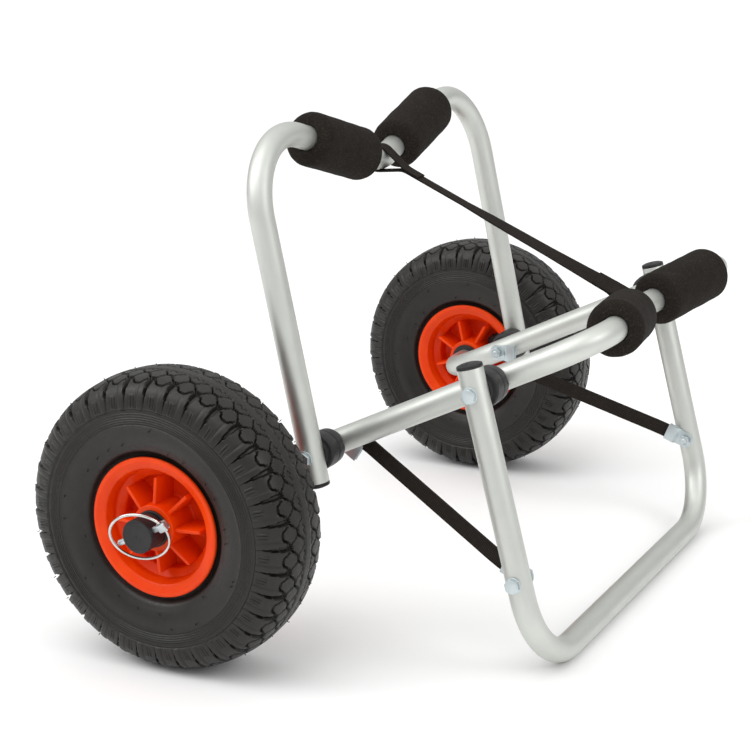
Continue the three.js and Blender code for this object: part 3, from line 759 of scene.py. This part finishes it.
def slot_depth(distance, width, edge=0.5):
    """1 inside a groove of that width, from the distance to its middle, in millimetres."""
    return 1 - ramp(np.abs(distance), width / 2 - edge / 2, width / 2 + edge / 2)


def from_mark(pitch, phase):
    """The way from the nearest mark at that phase of the pitch, as a share of a pitch."""
    return np.mod(pitch - phase + 0.5, 1) - 0.5


def smooth_curve(points, spacing):
    """Points along a Catmull-Rom curve through the given ones, as far apart as the spacing says."""
    points = np.array(points, dtype=float)
    padded = np.vstack([2 * points[0] - points[1], points, 2 * points[-1] - points[-2]])
    out = []
    for i in range(1, len(padded) - 2):
        p0, p1, p2, p3 = padded[i - 1:i + 3]
        t = np.linspace(0, 1, 60, endpoint=False)[:, None]
        out.append(0.5 * (2 * p1 + (p2 - p0) * t + (2 * p0 - 5 * p1 + 4 * p2 - p3) * t ** 2
                          + (3 * p1 - p0 - 3 * p2 + p3) * t ** 3))
    dense = np.vstack(out + [points[-1:]])
    reach = np.concatenate([[0], np.cumsum(np.linalg.norm(np.diff(dense, axis=0), axis=1))])
    stops = [0.0]
    while stops[-1] < reach[-1]:
        here = np.interp(stops[-1], reach, dense[:, 1])
        stops.append(stops[-1] + spacing(stops[-1], here))
    stops[-1] = reach[-1]
    stops = np.array(stops)
    return stops, np.stack([np.interp(stops, reach, dense[:, axis]) for axis in (0, 1)], axis=1)


def blocks_depth(w, pitch):
    """The centre band with its parting line, then two rows of rhombic blocks between toothed grooves."""
    along = from_mark(pitch, 0.5) * PITCH
    depth = 0.5 * ramp(w, 3.4, 4.4) - 0.4 * slot_depth(w, 0.9, 0.8)
    step = np.where(np.mod(pitch * 4, 1) < 0.5, 0.7, -0.7)
    edge = slot_depth(w - BAND_EDGE - step, 1.2, 0.6) * (1 - ramp(np.abs(along), 4.5, 5.5))
    depth = np.maximum(depth, 2.4 * edge)
    inside = ramp(w, 5.0, 5.8) * (1 - ramp(w, 30.6, 31.2))
    for lean in (1, -1):
        share = np.mod(pitch + lean * (w - NODE) / DIAMOND, 1) - 0.5
        across = share * PITCH * DIAMOND / math.hypot(PITCH, DIAMOND)
        run = np.mod(pitch - lean * (w - NODE) / DIAMOND, 1)
        tooth = TOOTH * ((run > 0.62) & (run < 0.86)) - TOOTH * ((run > 0.14) & (run < 0.38))
        depth = np.maximum(depth, GROOVE_DEPTH * inside * slot_depth(across - tooth, GROOVE, 0.45))
    edge = slot_depth(w - BLOCKS_EDGE, GROOVE, 0.6) * (1 - ramp(np.abs(along), 2.2, 3.0))
    return np.maximum(depth, 2.6 * edge)


def shoulder_depth(depth, w, r, pitch):
    """The wedge grooves and a thin line between the shoulder's swelling lugs, with ribs on their feet."""
    arc = 2 * math.pi * r / PITCHES
    belt = ramp(r, BELT_EDGE, BELT_EDGE + 0.8)
    width, fall = 0.7 + 3.0 * ramp(r, 110, 125), 1.0 + 3.0 * ramp(r, 106, 120)
    wedge = slot_depth(from_mark(pitch, 0) * arc, width, 0.6)
    depth = np.maximum(depth, fall * ramp(w, 23.5, 24.5) * belt * wedge)
    lug = ramp(w, 28.5, 31.5) * belt
    depth = np.maximum(depth, 1.1 * lug * slot_depth(from_mark(pitch, 0.64) * arc, 0.8, 0.6))
    swell = 1 - (from_mark(pitch, 0.82) / 0.16) ** 2
    depth = depth - 0.8 * lug * np.clip(swell, 0, 1)
    if w > 28:
        at_ribs = from_mark(pitch, 0.37) * arc
        ribs = ramp(r, 105.4, 106.0) * (1 - ramp(r, 115.0, 115.6))
        for shift in (-1.2, 1.2):
            depth = depth - 0.9 * ribs * slot_depth(at_ribs - shift, 1.3, 0.5)
        for shift in (-2.5, 0, 2.5):
            depth = np.maximum(depth, 0.9 * ribs * slot_depth(at_ribs - shift, 0.7, 0.5))
    if w > 30:
        depth = depth + 0.9 * (1 - belt)
    return depth


def sidewall_depth(depth, w, r):
    """A groove under the lugs, fine ridges below it and one near the bead."""
    if w > 30:
        depth = np.maximum(depth, 1.7 * slot_depth(r - 103.2, 1.0, 0.6))
        for ridge in RIDGES:
            depth = depth - 0.7 * slot_depth(r - ridge, 0.9, 0.8)
        depth = depth - 0.55 * slot_depth(r - 66.4, 1.6, 0.9)
    return depth


def surface_depth(w, r, turns, side):
    """How deep the tyre's surface lies under its outline, at w along the section from the crown's middle."""
    pitch = turns * PITCHES / (2 * math.pi) + (0.5 if side < 0 else 0)
    return sidewall_depth(shoulder_depth(blocks_depth(w, pitch), w, r, pitch), w, r)


def tyre_spacing(w, r):
    """How far apart the section's points are: closest over the ridges."""
    if r < 64:
        return 1.4
    if r < 90:
        return 2.0
    return 0.42 if r < 104.5 and w > 30 else 0.95


def tyre_mesh():
    """The tyre's carcass, tread and sidewalls from bead to bead, and a plain inside."""
    outline = [
        (0, 130), (7, 129.9), (14, 129.4), (20.5, 128.3), (26.5, 126.3), (31.4, 123.4), (35, 119.6),
        (37.6, 114.6), (39.4, 108.4), (40.6, 101.5), (41, 95), (40.8, 87), (39.8, 79.5), (37.6, 73),
        (34.6, 67.6), (31.6, 64.6), (29, 63.2), (28.2, 61.5), (28.1, 57), (28.1, 52.6)]
    inner = [(23.6, 52.0), (24.2, 62), (31, 72), (35.5, 86), (35.6, 101), (31, 114), (22, 120.5), (0, 122.5)]
    inner += [(-y, r) for y, r in reversed(inner[:-1])]
    w, section = smooth_curve(outline, tyre_spacing)
    slope = np.gradient(section, axis=0)
    normal = np.stack([-slope[:, 1], slope[:, 0]], axis=1)
    normal /= np.linalg.norm(normal, axis=1)[:, None]
    normal *= np.where(normal[:, :1] + 0.01 * normal[:, 1:] < 0, -1, 1)
    steps = PITCHES * STEPS_A_PITCH
    turns = np.arange(steps) * 2 * math.pi / steps
    halves = []
    for side in (-1, 1):
        depth = np.array([surface_depth(w[i], section[i, 1], turns, side) for i in range(len(w))])
        y = (section[:, 0:1] - depth * normal[:, 0:1]) * side
        halves.append((y, section[:, 1:2] - depth * normal[:, 1:2]))
    (far_y, far_r), (near_y, near_r) = halves
    y = np.vstack([far_y[::-1], near_y[1:], np.repeat([[a] for a, _ in inner], steps, axis=1)])
    r = np.vstack([far_r[::-1], near_r[1:], np.repeat([[b] for _, b in inner], steps, axis=1)])
    points = np.stack([r * np.cos(turns), y, r * np.sin(turns)], axis=2).reshape(-1, 3) * MM
    count = len(y)
    i, k = np.meshgrid(np.arange(count), np.arange(steps), indexing="ij")
    j, m = (i + 1) % count, (k + 1) % steps
    quads = np.stack([i * steps + k, i * steps + m, j * steps + m, j * steps + k], axis=2).reshape(-1, 4)
    mesh = bpy.data.meshes.new("tyre")
    mesh.vertices.add(len(points))
    mesh.vertices.foreach_set("co", points.astype(np.float32).ravel())
    mesh.loops.add(quads.size)
    mesh.loops.foreach_set("vertex_index", quads.astype(np.int32).ravel())
    mesh.polygons.add(len(quads))
    mesh.polygons.foreach_set("loop_start", np.arange(0, quads.size, 4, dtype=np.int32))
    mesh.update(calc_edges=True)
    mesh.validate()
    return mesh


def joined(name, parts, home=None):
    """Several objects made one, in the place given or else in that of the first."""
    bpy.context.view_layer.update()
    work = bmesh.new()
    home = home or parts[0].matrix_world.copy()
    for part in parts:
        part_mesh = part.data.copy()
        part_mesh.transform(home.inverted() @ part.matrix_world)
        work.from_mesh(part_mesh)
        bpy.data.meshes.remove(part_mesh)
    mesh = bpy.data.meshes.new(name)
    work.to_mesh(mesh)
    work.free()
    for part in parts:
        bpy.data.objects.remove(part)
    return place(name, mesh, home, 40)


def vents(matrix):
    """The hairs and stubs of rubber that a mould's vents leave on the tread and sidewalls."""
    random = np.random.default_rng(26)
    parts = []
    for k in range(2 * PITCHES):
        for side in (-1, 1):
            if random.random() < 0.35:
                continue
            angle = (k / 2 + (0.5 if side < 0 else 0)) * 2 * math.pi / PITCHES
            y, r, lean = (14.5, 129.0, 0.15) if k % 2 else (33.0, 121.4, 0.75)
            parts.append((angle, side * y, r, side * (lean + random.normal(0, 0.25)),
                          random.normal(0, 0.3), random.uniform(0.9, 2.0), 0.42))
        if k % 3 == 0:
            for side in (-1, 1):
                r = random.choice([radius for radius, _ in VENT_RINGS])
                y = dict(VENT_RINGS)[r]
                angle = k * math.pi / PITCHES + random.normal(0, 0.05)
                parts.append((angle, side * y, r, side * 1.45, 0, 0.5, 0.75))
    stubs = []
    for angle, y, r, lean, twist, length, radius in parts:
        spot = spin(-angle, "Y") @ at(r, y) @ spin(twist, "Y") @ spin(lean - QUARTER, "Z")
        profile = [(0, -0.6), (radius, -0.6), (radius * 0.8, length, 0.2), (0, length)]
        stubs.append(lathe("stub", profile, 6, matrix @ spot, steps=1))
    return stubs


def build_tyres():
    mesh = tyre_mesh()
    for label, side in SIDES:
        wheel = wheel_matrix(side)
        stand_in(place(f"tyre_{label}_rubber", mesh, wheel, 50), f"wheel_{label}", "tyre")
        put(joined(f"tyre_{label}_vents", vents(wheel), wheel), f"wheel_{label}", "tyre")


build_tyres()


def plate(name, outline, low, high, matrix):
    """A flat outline of (x, z) points given a thickness along Y."""
    count = len(outline)
    points = [(x, y, z) for y in (low, high) for x, z in outline]
    faces = [tuple(range(count))[::-1], tuple(range(count, 2 * count))]
    faces += [(k, (k + 1) % count, count + (k + 1) % count, count + k) for k in range(count)]
    return cast(name, points, faces, matrix)


RIM_BORE = 14.3
RIM_HALF = (
    (44, 14, 3), (51.5, 18, 2), (51.5, 29.2, 1), (61, 29.2, 1), (61, 32.6, 1.7), (57.2, 32.6, 2.2),
    (50.2, 29.6, 2.5), (48.3, 22, 3), (48.3, 18, 2), (40.8, 14, 3), (40.8, 2.5, 3), (20, 2.5, 2.5),
    (20, 33, 0.8), (RIM_BORE, 33, 0.5))
RIB = ((17, -30.5), (41.9, -26.5), (41.9, 26.5), (17, 30.5))
RIBS, RIB_HALF, GATE_REACH = 8, 1.5, 31
RIB_TURN = 2 * math.pi / RIBS
VALVE_DROP = 11
GRIPS, GRIP_REACH = 12, 4.75
INNER_TUBE_HALF = ((53, 20, 6), (72, 28, 14), (100, 32, 16), (118, 16, 14))


def build_rim(label, spun):
    """A rim with its hub and web, the ribs round the hub and the marks of the mould's gates between them."""
    mirrored = [(r, -y, fillet) for r, y, fillet in reversed(RIM_HALF)]
    parts = [lathe("rim", [(RIM_BORE, 0), *mirrored, *RIM_HALF], 144, spun)]
    for k in range(RIBS):
        turned = spun @ spin(k * RIB_TURN, "Y") @ spin(QUARTER, "X")
        rib = plate("rib", RIB, -RIB_HALF, RIB_HALF, turned)
        parts.append(softened(rib, 0.8, 3))
    gate = [(0, 2.4), (2.2, 2.4), (2.2, 2.9, 0.2), (0, 2.9)]
    for k in range(RIBS):
        parts.append(lathe("gate", gate, 24, spun @ spin((k + 0.5) * RIB_TURN, "Y") @ at(GATE_REACH)))
    stand_in(joined(f"rim_{label}_moulding", parts), f"wheel_{label}", "rim_plastic")


def build_bushings(label, wheel):
    profile = [(11.3, 8.3), (14, 8.3, 0.5), (14, 33.3), (16, 33.3, 0.3), (16, 35.5, 0.7),
                  (11.3, 35.5, 0.4)]
    for end, turn in (("outer", 0), ("inner", math.pi)):
        made = lathe(f"hub_bushing_{end}_{label}_turned", profile, 96, wheel @ spin(turn, "X"))
        stand_in(made, f"wheel_{label}", "black_plastic")


def build_valve(label, matrix):
    """The inner tube's threaded stem and its gripped cap, with Y running into the tube."""
    profile = [(0, 31), (3.4, 31, 0.3), (3.6, 35)]
    for k in range(12):
        y = 35.5 + 0.8 * k
        profile += [(3.7, y), (4.05, y + 0.3), (4.05, y + 0.5)]
    profile += [(4, 47), (5.2, 50), (0, 50)]
    stem = lathe(f"valve_stem_{label}", profile, 40, matrix)
    put(stem, f"wheel_{label}", "tube_rubber")
    cup = [(0, 24.6), (3.1, 24.6, 0.9), (4.9, 26.6, 0.8), (5, 35.4, 0.4), (4.25, 35.4), (4.25, 31.5),
              (0, 31.5)]
    parts = [lathe(f"valve_cap_{label}_cup", cup, 48, matrix)]
    grip = [(0, 27), (0.6, 27, 0.2), (0.6, 34.6, 0.2), (0, 34.6)]
    for k in range(GRIPS):
        a = 2 * math.pi * k / GRIPS
        spot = at(GRIP_REACH * math.cos(a), 0, GRIP_REACH * math.sin(a))
        parts.append(lathe("grip", grip, 12, matrix @ spot))
    stand_in(joined(f"valve_cap_{label}_moulding", parts), f"wheel_{label}", "black_plastic")


def build_wheels():
    mirrored = [(r, -y, fillet) for r, y, fillet in reversed(INNER_TUBE_HALF)]
    inner_tube = [(53, 0, 0), *INNER_TUBE_HALF, (120.5, 0, 10), *mirrored]
    for label, side in SIDES:
        wheel = wheel_matrix(side)
        spun = wheel @ spin(-RIM_TURNS[label], "Y")
        build_rim(label, spun)
        build_bushings(label, wheel)
        build_valve(label, spun @ spin(-RIB_TURN / 2, "Y") @ at(0, -VALVE_DROP) @ spin(-QUARTER, "Z"))
        made = lathe(f"inner_tube_{label}_rubber", inner_tube, 96, wheel)
        stand_in(made, f"wheel_{label}", "tube_rubber")


# The axle's ends; the pin's hole, the lug and the ring lie in the main frame's plane.
PIN_Y, LUG_X, LUG_LEAN = CAP_OUTER - 7.2, 23.5, math.radians(30)
PIN, PIN_DEPTH, PIN_TOP = 2.75, 26, 19.6
RING_RADIUS, RING_WIRE = 25, 1.3
CAP_RADIUS, CAP_BORE, CAP_DEPTH = 14.5, TUBE + 0.2, 20


def build_cap(label, matrix):
    """A cup over the axle's end with a cross hole, a thin rim and a point in the middle of its face."""
    start, end = CAP_OUTER - CAP_DEPTH, CAP_OUTER - CAP_WALL
    dish, point = CAP_OUTER - 0.25, CAP_OUTER - 0.6
    cap = lathe(f"axle_cap_{label}_cup", [
        (CAP_BORE, start), (CAP_RADIUS, start, 0.5), (CAP_RADIUS, CAP_OUTER, 0.9),
        (12.6, CAP_OUTER, 0.1), (12.3, dish, 0.1), (1.4, dish, 0.1),
        (1.0, point, 0.2), (0, point), (0, end), (CAP_BORE, end)], 96, matrix)
    shaped(cap, "DIFFERENCE", [cylinder_x("cut", PIN + CLEARANCE, 18, matrix @ at(0, PIN_Y), 48)])
    stand_in(cap, "frame", "black_plastic")


def build_pin(label, held, leaning):
    """A linch pin: a round shank, and a leaning lug with an eye and a notch for the ring."""
    shank = lathe("shank", [
        (0, -PIN_DEPTH), (2, -PIN_DEPTH, 0.6), (PIN, 1.6 - PIN_DEPTH, 0.6),
        (PIN, PIN_TOP), (0, PIN_TOP)], 48, held @ spin(-QUARTER, "Z"))
    half = Vector((4.5, 3.5, 4))
    lug = softened(block("lug", -half, half, leaning), 1.1, 4)
    eye = drum("cut", 1.95, -6, 6, leaning @ spin(QUARTER, "X"), 32)
    notch = block("cut", (2.6, -0.7, -6), (6, 0.7, 6), leaning)
    shaped(lug, "DIFFERENCE", [eye, notch])
    stand_in(joined(f"linch_pin_{label}_forging", [shank, lug]), "frame", "zinc_steel")


def build_axle_ends():
    """Caps on the axle, each held by a linch pin whose ring snaps over the pin's lower end."""
    ring_rest = math.asin((PIN + RING_WIRE + CLEARANCE) / (LUG_X + PIN_DEPTH))
    for label, side in SIDES:
        build_cap(label, MAIN @ facing(side))
        held = MAIN @ at(0, side * PIN_Y)
        leaning = held @ at(LUG_X) @ spin(-side * LUG_LEAN, "X")
        build_pin(label, held, leaning)
        section = [(RING_RADIUS + RING_WIRE * math.cos(a), RING_WIRE * math.sin(a))
                   for a in np.linspace(0, 2 * math.pi, 20, endpoint=False)]
        ring_place = leaning @ spin(-side * ring_rest, "Z") @ at(-RING_RADIUS)
        ring = lathe(f"linch_ring_{label}_wire", section, 144, ring_place, angle=180)
        stand_in(ring, f"ring_{label}", "ring_steel")


build_wheels()
build_axle_ends()


STRAP_WIDTH, PLY = 15, 1.7
STRAP_FOLD, STRAP_TAIL = 29, 46
STITCH_OUT = 5.4
# How far the top strap has turned, in degrees, at these distances in millimetres from the cradle's bar
TWIST_STOPS = (0, 97, 124, 150, 190, 228, 246, 258, 272, 400)
TWISTS = (0, 0, 8, 12.5, 17, 28, 37, 38, 12, 0)
CLIP_TURNS = {"left": math.radians(26), "right": math.radians(-10)}
CLIP_LENGTH = 21
SLOT_START, CLIP_SHEET, CLIP_HEIGHT, CLIP_END = 12.5, 1.2, 5.0, 8
STRAP_IN_CLIP = -2.5


def ribbon(name, path, matrix):
    """A woven band along (x, z) points in a plane, its width along Y; u and v of its map are metres."""
    path = np.array(path, dtype=float)
    reach = np.concatenate([[0], np.cumsum(np.linalg.norm(np.diff(path, axis=0), axis=1))])
    tangent = np.gradient(path, reach, axis=0)
    tangent /= np.linalg.norm(tangent, axis=1)[:, None]
    half, edge = STRAP_WIDTH / 2, PLY / 2
    arc = [(half - edge + edge * math.cos(a), edge * math.sin(a)) for a in (math.pi / 4, 0, -math.pi / 4)]
    section = [(y, edge) for y in np.linspace(-half + edge, half - edge, 11)] + arc
    section += [(y, -edge) for y in np.linspace(half - edge, -half + edge, 11)]
    section += [(-y, z) for y, z in reversed(arc)]
    points, uv = [], []
    for i, (x, z) in enumerate(path):
        for y, out in section:
            points.append((x - tangent[i, 1] * out, y, z + tangent[i, 0] * out))
            uv.append((reach[i], y + half))
    row = len(section)
    faces = [(i * row + k, i * row + (k + 1) % row, (i + 1) * row + (k + 1) % row, (i + 1) * row + k)
             for i in range(len(path) - 1) for k in range(row)]
    faces += [tuple(range(row))[::-1], tuple(range((len(path) - 1) * row, len(path) * row))]
    return cast(name, points, faces, matrix, uv, 60)


def stitches(name, height, spots):
    """Short raised threads lying across or along a band: each spot is (x, y, along)."""
    profile = [(0, -1.1), (0.28, -1.0, 0.2), (0.28, 1.0, 0.2), (0, 1.1)]
    parts = []
    for x, y, along in spots:
        turn = spin(QUARTER if along else 0, "Z")
        parts.append(lathe("thread", profile, 8, at(x, y, height) @ turn, steps=2))
    return joined(name, parts)


def span(start, end):
    """The plane from one point to another, with X along it."""
    line = end - start
    return plane(start, math.atan2(line.z, line.x)), line.length / MM


def dip_point(frame_plane, length, half, dip):
    slope = math.atan2(dip, half)
    return point_on(frame_plane, length - dip + DIP_BEND * (1 / math.cos(slope) - 1))


def loop(centre, side, radius, reach, rise_in, rise_out, steps=44):
    """Points round a bar, in from (reach, rise_in) over it and out at (reach, rise_out) under it."""
    first = math.acos(radius / reach)
    angles = np.linspace(first, 2 * math.pi - first, steps)
    points = [(centre + side * reach, rise_in)]
    points += [(centre + side * radius * math.cos(a), radius * math.sin(a)) for a in angles]
    points += [(centre + side * reach, rise_out)]
    return points


def relaxed(path, gap=1.2, rounds=12):
    """The path at even steps, with its corners eased as webbing lies."""
    path = np.array(path, dtype=float)
    reach = np.concatenate([[0], np.cumsum(np.linalg.norm(np.diff(path, axis=0), axis=1))])
    stops = np.linspace(0, reach[-1], max(3, int(reach[-1] / gap)))
    even = np.stack([np.interp(stops, reach, path[:, 0]), np.interp(stops, reach, path[:, 1])], axis=1)
    for _ in range(rounds):
        even[1:-1] += 0.25 * (even[:-2] + even[2:] - 2 * even[1:-1])
    return even


def build_top_strap():
    """The tie between the two dips, twisting as it runs towards the main frame's bar."""
    matrix, length = span(dip_point(CRADLE, CRADLE_LENGTH, OUTER_HALF, CRADLE_DIP),
                          dip_point(MAIN, MAIN_LENGTH, MAIN_HALF, MAIN_DIP))
    radius = TUBE + 0.5 + PLY / 2
    fold, tail = STRAP_FOLD, STRAP_TAIL
    far_fold, far_tail = length - fold, length - tail

    def middle(x):
        return 3 + 4 * x / length

    under, over = -0.5 * PLY, 0.52 * PLY
    near = loop(0, 1, radius, fold, middle(fold) + over, middle(fold) + under)
    far = loop(length, -1, radius, fold, middle(far_fold) + over, middle(far_fold) + under)
    path = [(tail, middle(tail) + over)] + near
    path += [(x, middle(x) + under) for x in np.linspace(fold, far_fold, 40)][1:-1]
    path += far[::-1] + [(far_tail, middle(far_tail) + over)]
    band = ribbon("top_strap_webbing", relaxed(path), Matrix.Identity(4))
    spots = []
    for low, high in ((fold + 3, tail - 2.5), (far_tail + 2.5, far_fold - 3)):
        for x in np.arange(low + 1.5, high, 3):
            spots += [(x, STITCH_OUT, True), (x, -STITCH_OUT, True)]
        for y in np.arange(-4, 4.1, 2.0):
            spots += [(low, y, False), (high, y, False)]
    sewn = stitches("top_strap_stitching", over + PLY / 2, spots)
    for vertex in sewn.data.vertices:
        vertex.co.z += middle(vertex.co.x / MM) * MM
    for piece, nodes in ((band, ("top_strap",)), (sewn, ())):
        for vertex in piece.data.vertices:
            x, y, z = vertex.co / MM
            twist = math.radians(float(np.interp(x, TWIST_STOPS, TWISTS)))
            z -= middle(x)
            across = y * math.cos(twist) - z * math.sin(twist)
            upwards = y * math.sin(twist) + z * math.cos(twist) + middle(x)
            vertex.co = Vector((x, across, upwards)) * MM
        piece.matrix_world = matrix
        dress(piece, "webbing", *nodes)
        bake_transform(piece)


def clip_piece(name, matrix):
    """A folded sheet with an eye at one end and a slot that grips the strap at the other."""
    length, sheet, height, lip = CLIP_LENGTH, CLIP_SHEET, CLIP_HEIGHT, SLOT_START - CLIP_SHEET
    edge = [(-CLIP_END, 0), (length, 0), (length, -sheet), (SLOT_START, -sheet), (SLOT_START, sheet - height),
            (length, sheet - height), (length, -height), (lip, -height), (lip - 3, -CLIP_EYE),
            (-CLIP_END, -CLIP_EYE)]
    made = plate(name, [(x, -y) for x, y in edge], -10, 10, matrix @ spin(QUARTER, "X"))
    eye = [(CLIP_END * math.cos(a), CLIP_END * math.sin(a))
           for a in np.linspace(math.radians(108), math.radians(252), 25)]
    outline = [(2.5, 7.8), *eye, (2.5, -7.8), (12, -8.5), (length + 1, -8.5), (length + 1, 8.5), (12, 8.5)]
    shaped(made, "INTERSECT", [plate("shape", outline, -7, 2, matrix)])
    shaped(made, "DIFFERENCE", [drum("cut", 3.3, -8, 3, matrix, 40)])
    return softened(made, 0.3, 2, 40)


def build_lower_straps():
    """The slack straps inside the arms; each front clip has turned on its bolt."""
    matrix, length = span(point_on(MAIN, cradle_reach), point_on(STAND, STRAP_BOLT_REACH))
    main_inside = MAIN_HALF - TUBE - CLEARANCE
    stand_inside = OUTER_HALF - TUBE - CLEARANCE
    grip = CLIP_LENGTH - 12.9
    for label, side in SIDES:
        turn = CLIP_TURNS[label]
        strung = matrix @ facing(side)
        lift, start = CLIP_LENGTH * math.sin(turn), CLIP_LENGTH * math.cos(turn)
        run = length - CLIP_LENGTH - start
        slope = math.atan2(-lift, run)
        reach = math.hypot(run, lift)
        mouth = strung @ at(start, 0, side * lift) @ spin(-side * slope, "Y")
        front_grip, rear_grip = (grip - STRAP_WIDTH / 2 * abs(math.sin(a)) for a in (slope - turn, slope))
        path = [(-front_grip, main_inside + STRAP_IN_CLIP)]
        for share in np.linspace(0, 1, 60):
            path.append((2.6 + share * (reach - 5.2),
                         main_inside + STRAP_IN_CLIP + (stand_inside - main_inside) * share))
        path.append((reach + rear_grip, stand_inside + STRAP_IN_CLIP))
        eased = relaxed([(x, -y) for x, y in path], 2, 20)
        band = ribbon(f"lower_strap_{label}_webbing", eased, mouth @ spin(-QUARTER, "X"))
        dress(band, "webbing", f"lower_strap_{label}")
        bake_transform(band)
        for end, body, spot in (
                ("front", "frame", at(0, main_inside) @ spin(-side * turn, "Y")),
                ("rear", "stand", at(length, stand_inside) @ spin(math.pi, "Y"))):
            clip = clip_piece(f"strap_clip_{end}_{label}_sheet", strung @ spot)
            stand_in(clip, body, "zinc_steel")


build_top_strap()
build_lower_straps()
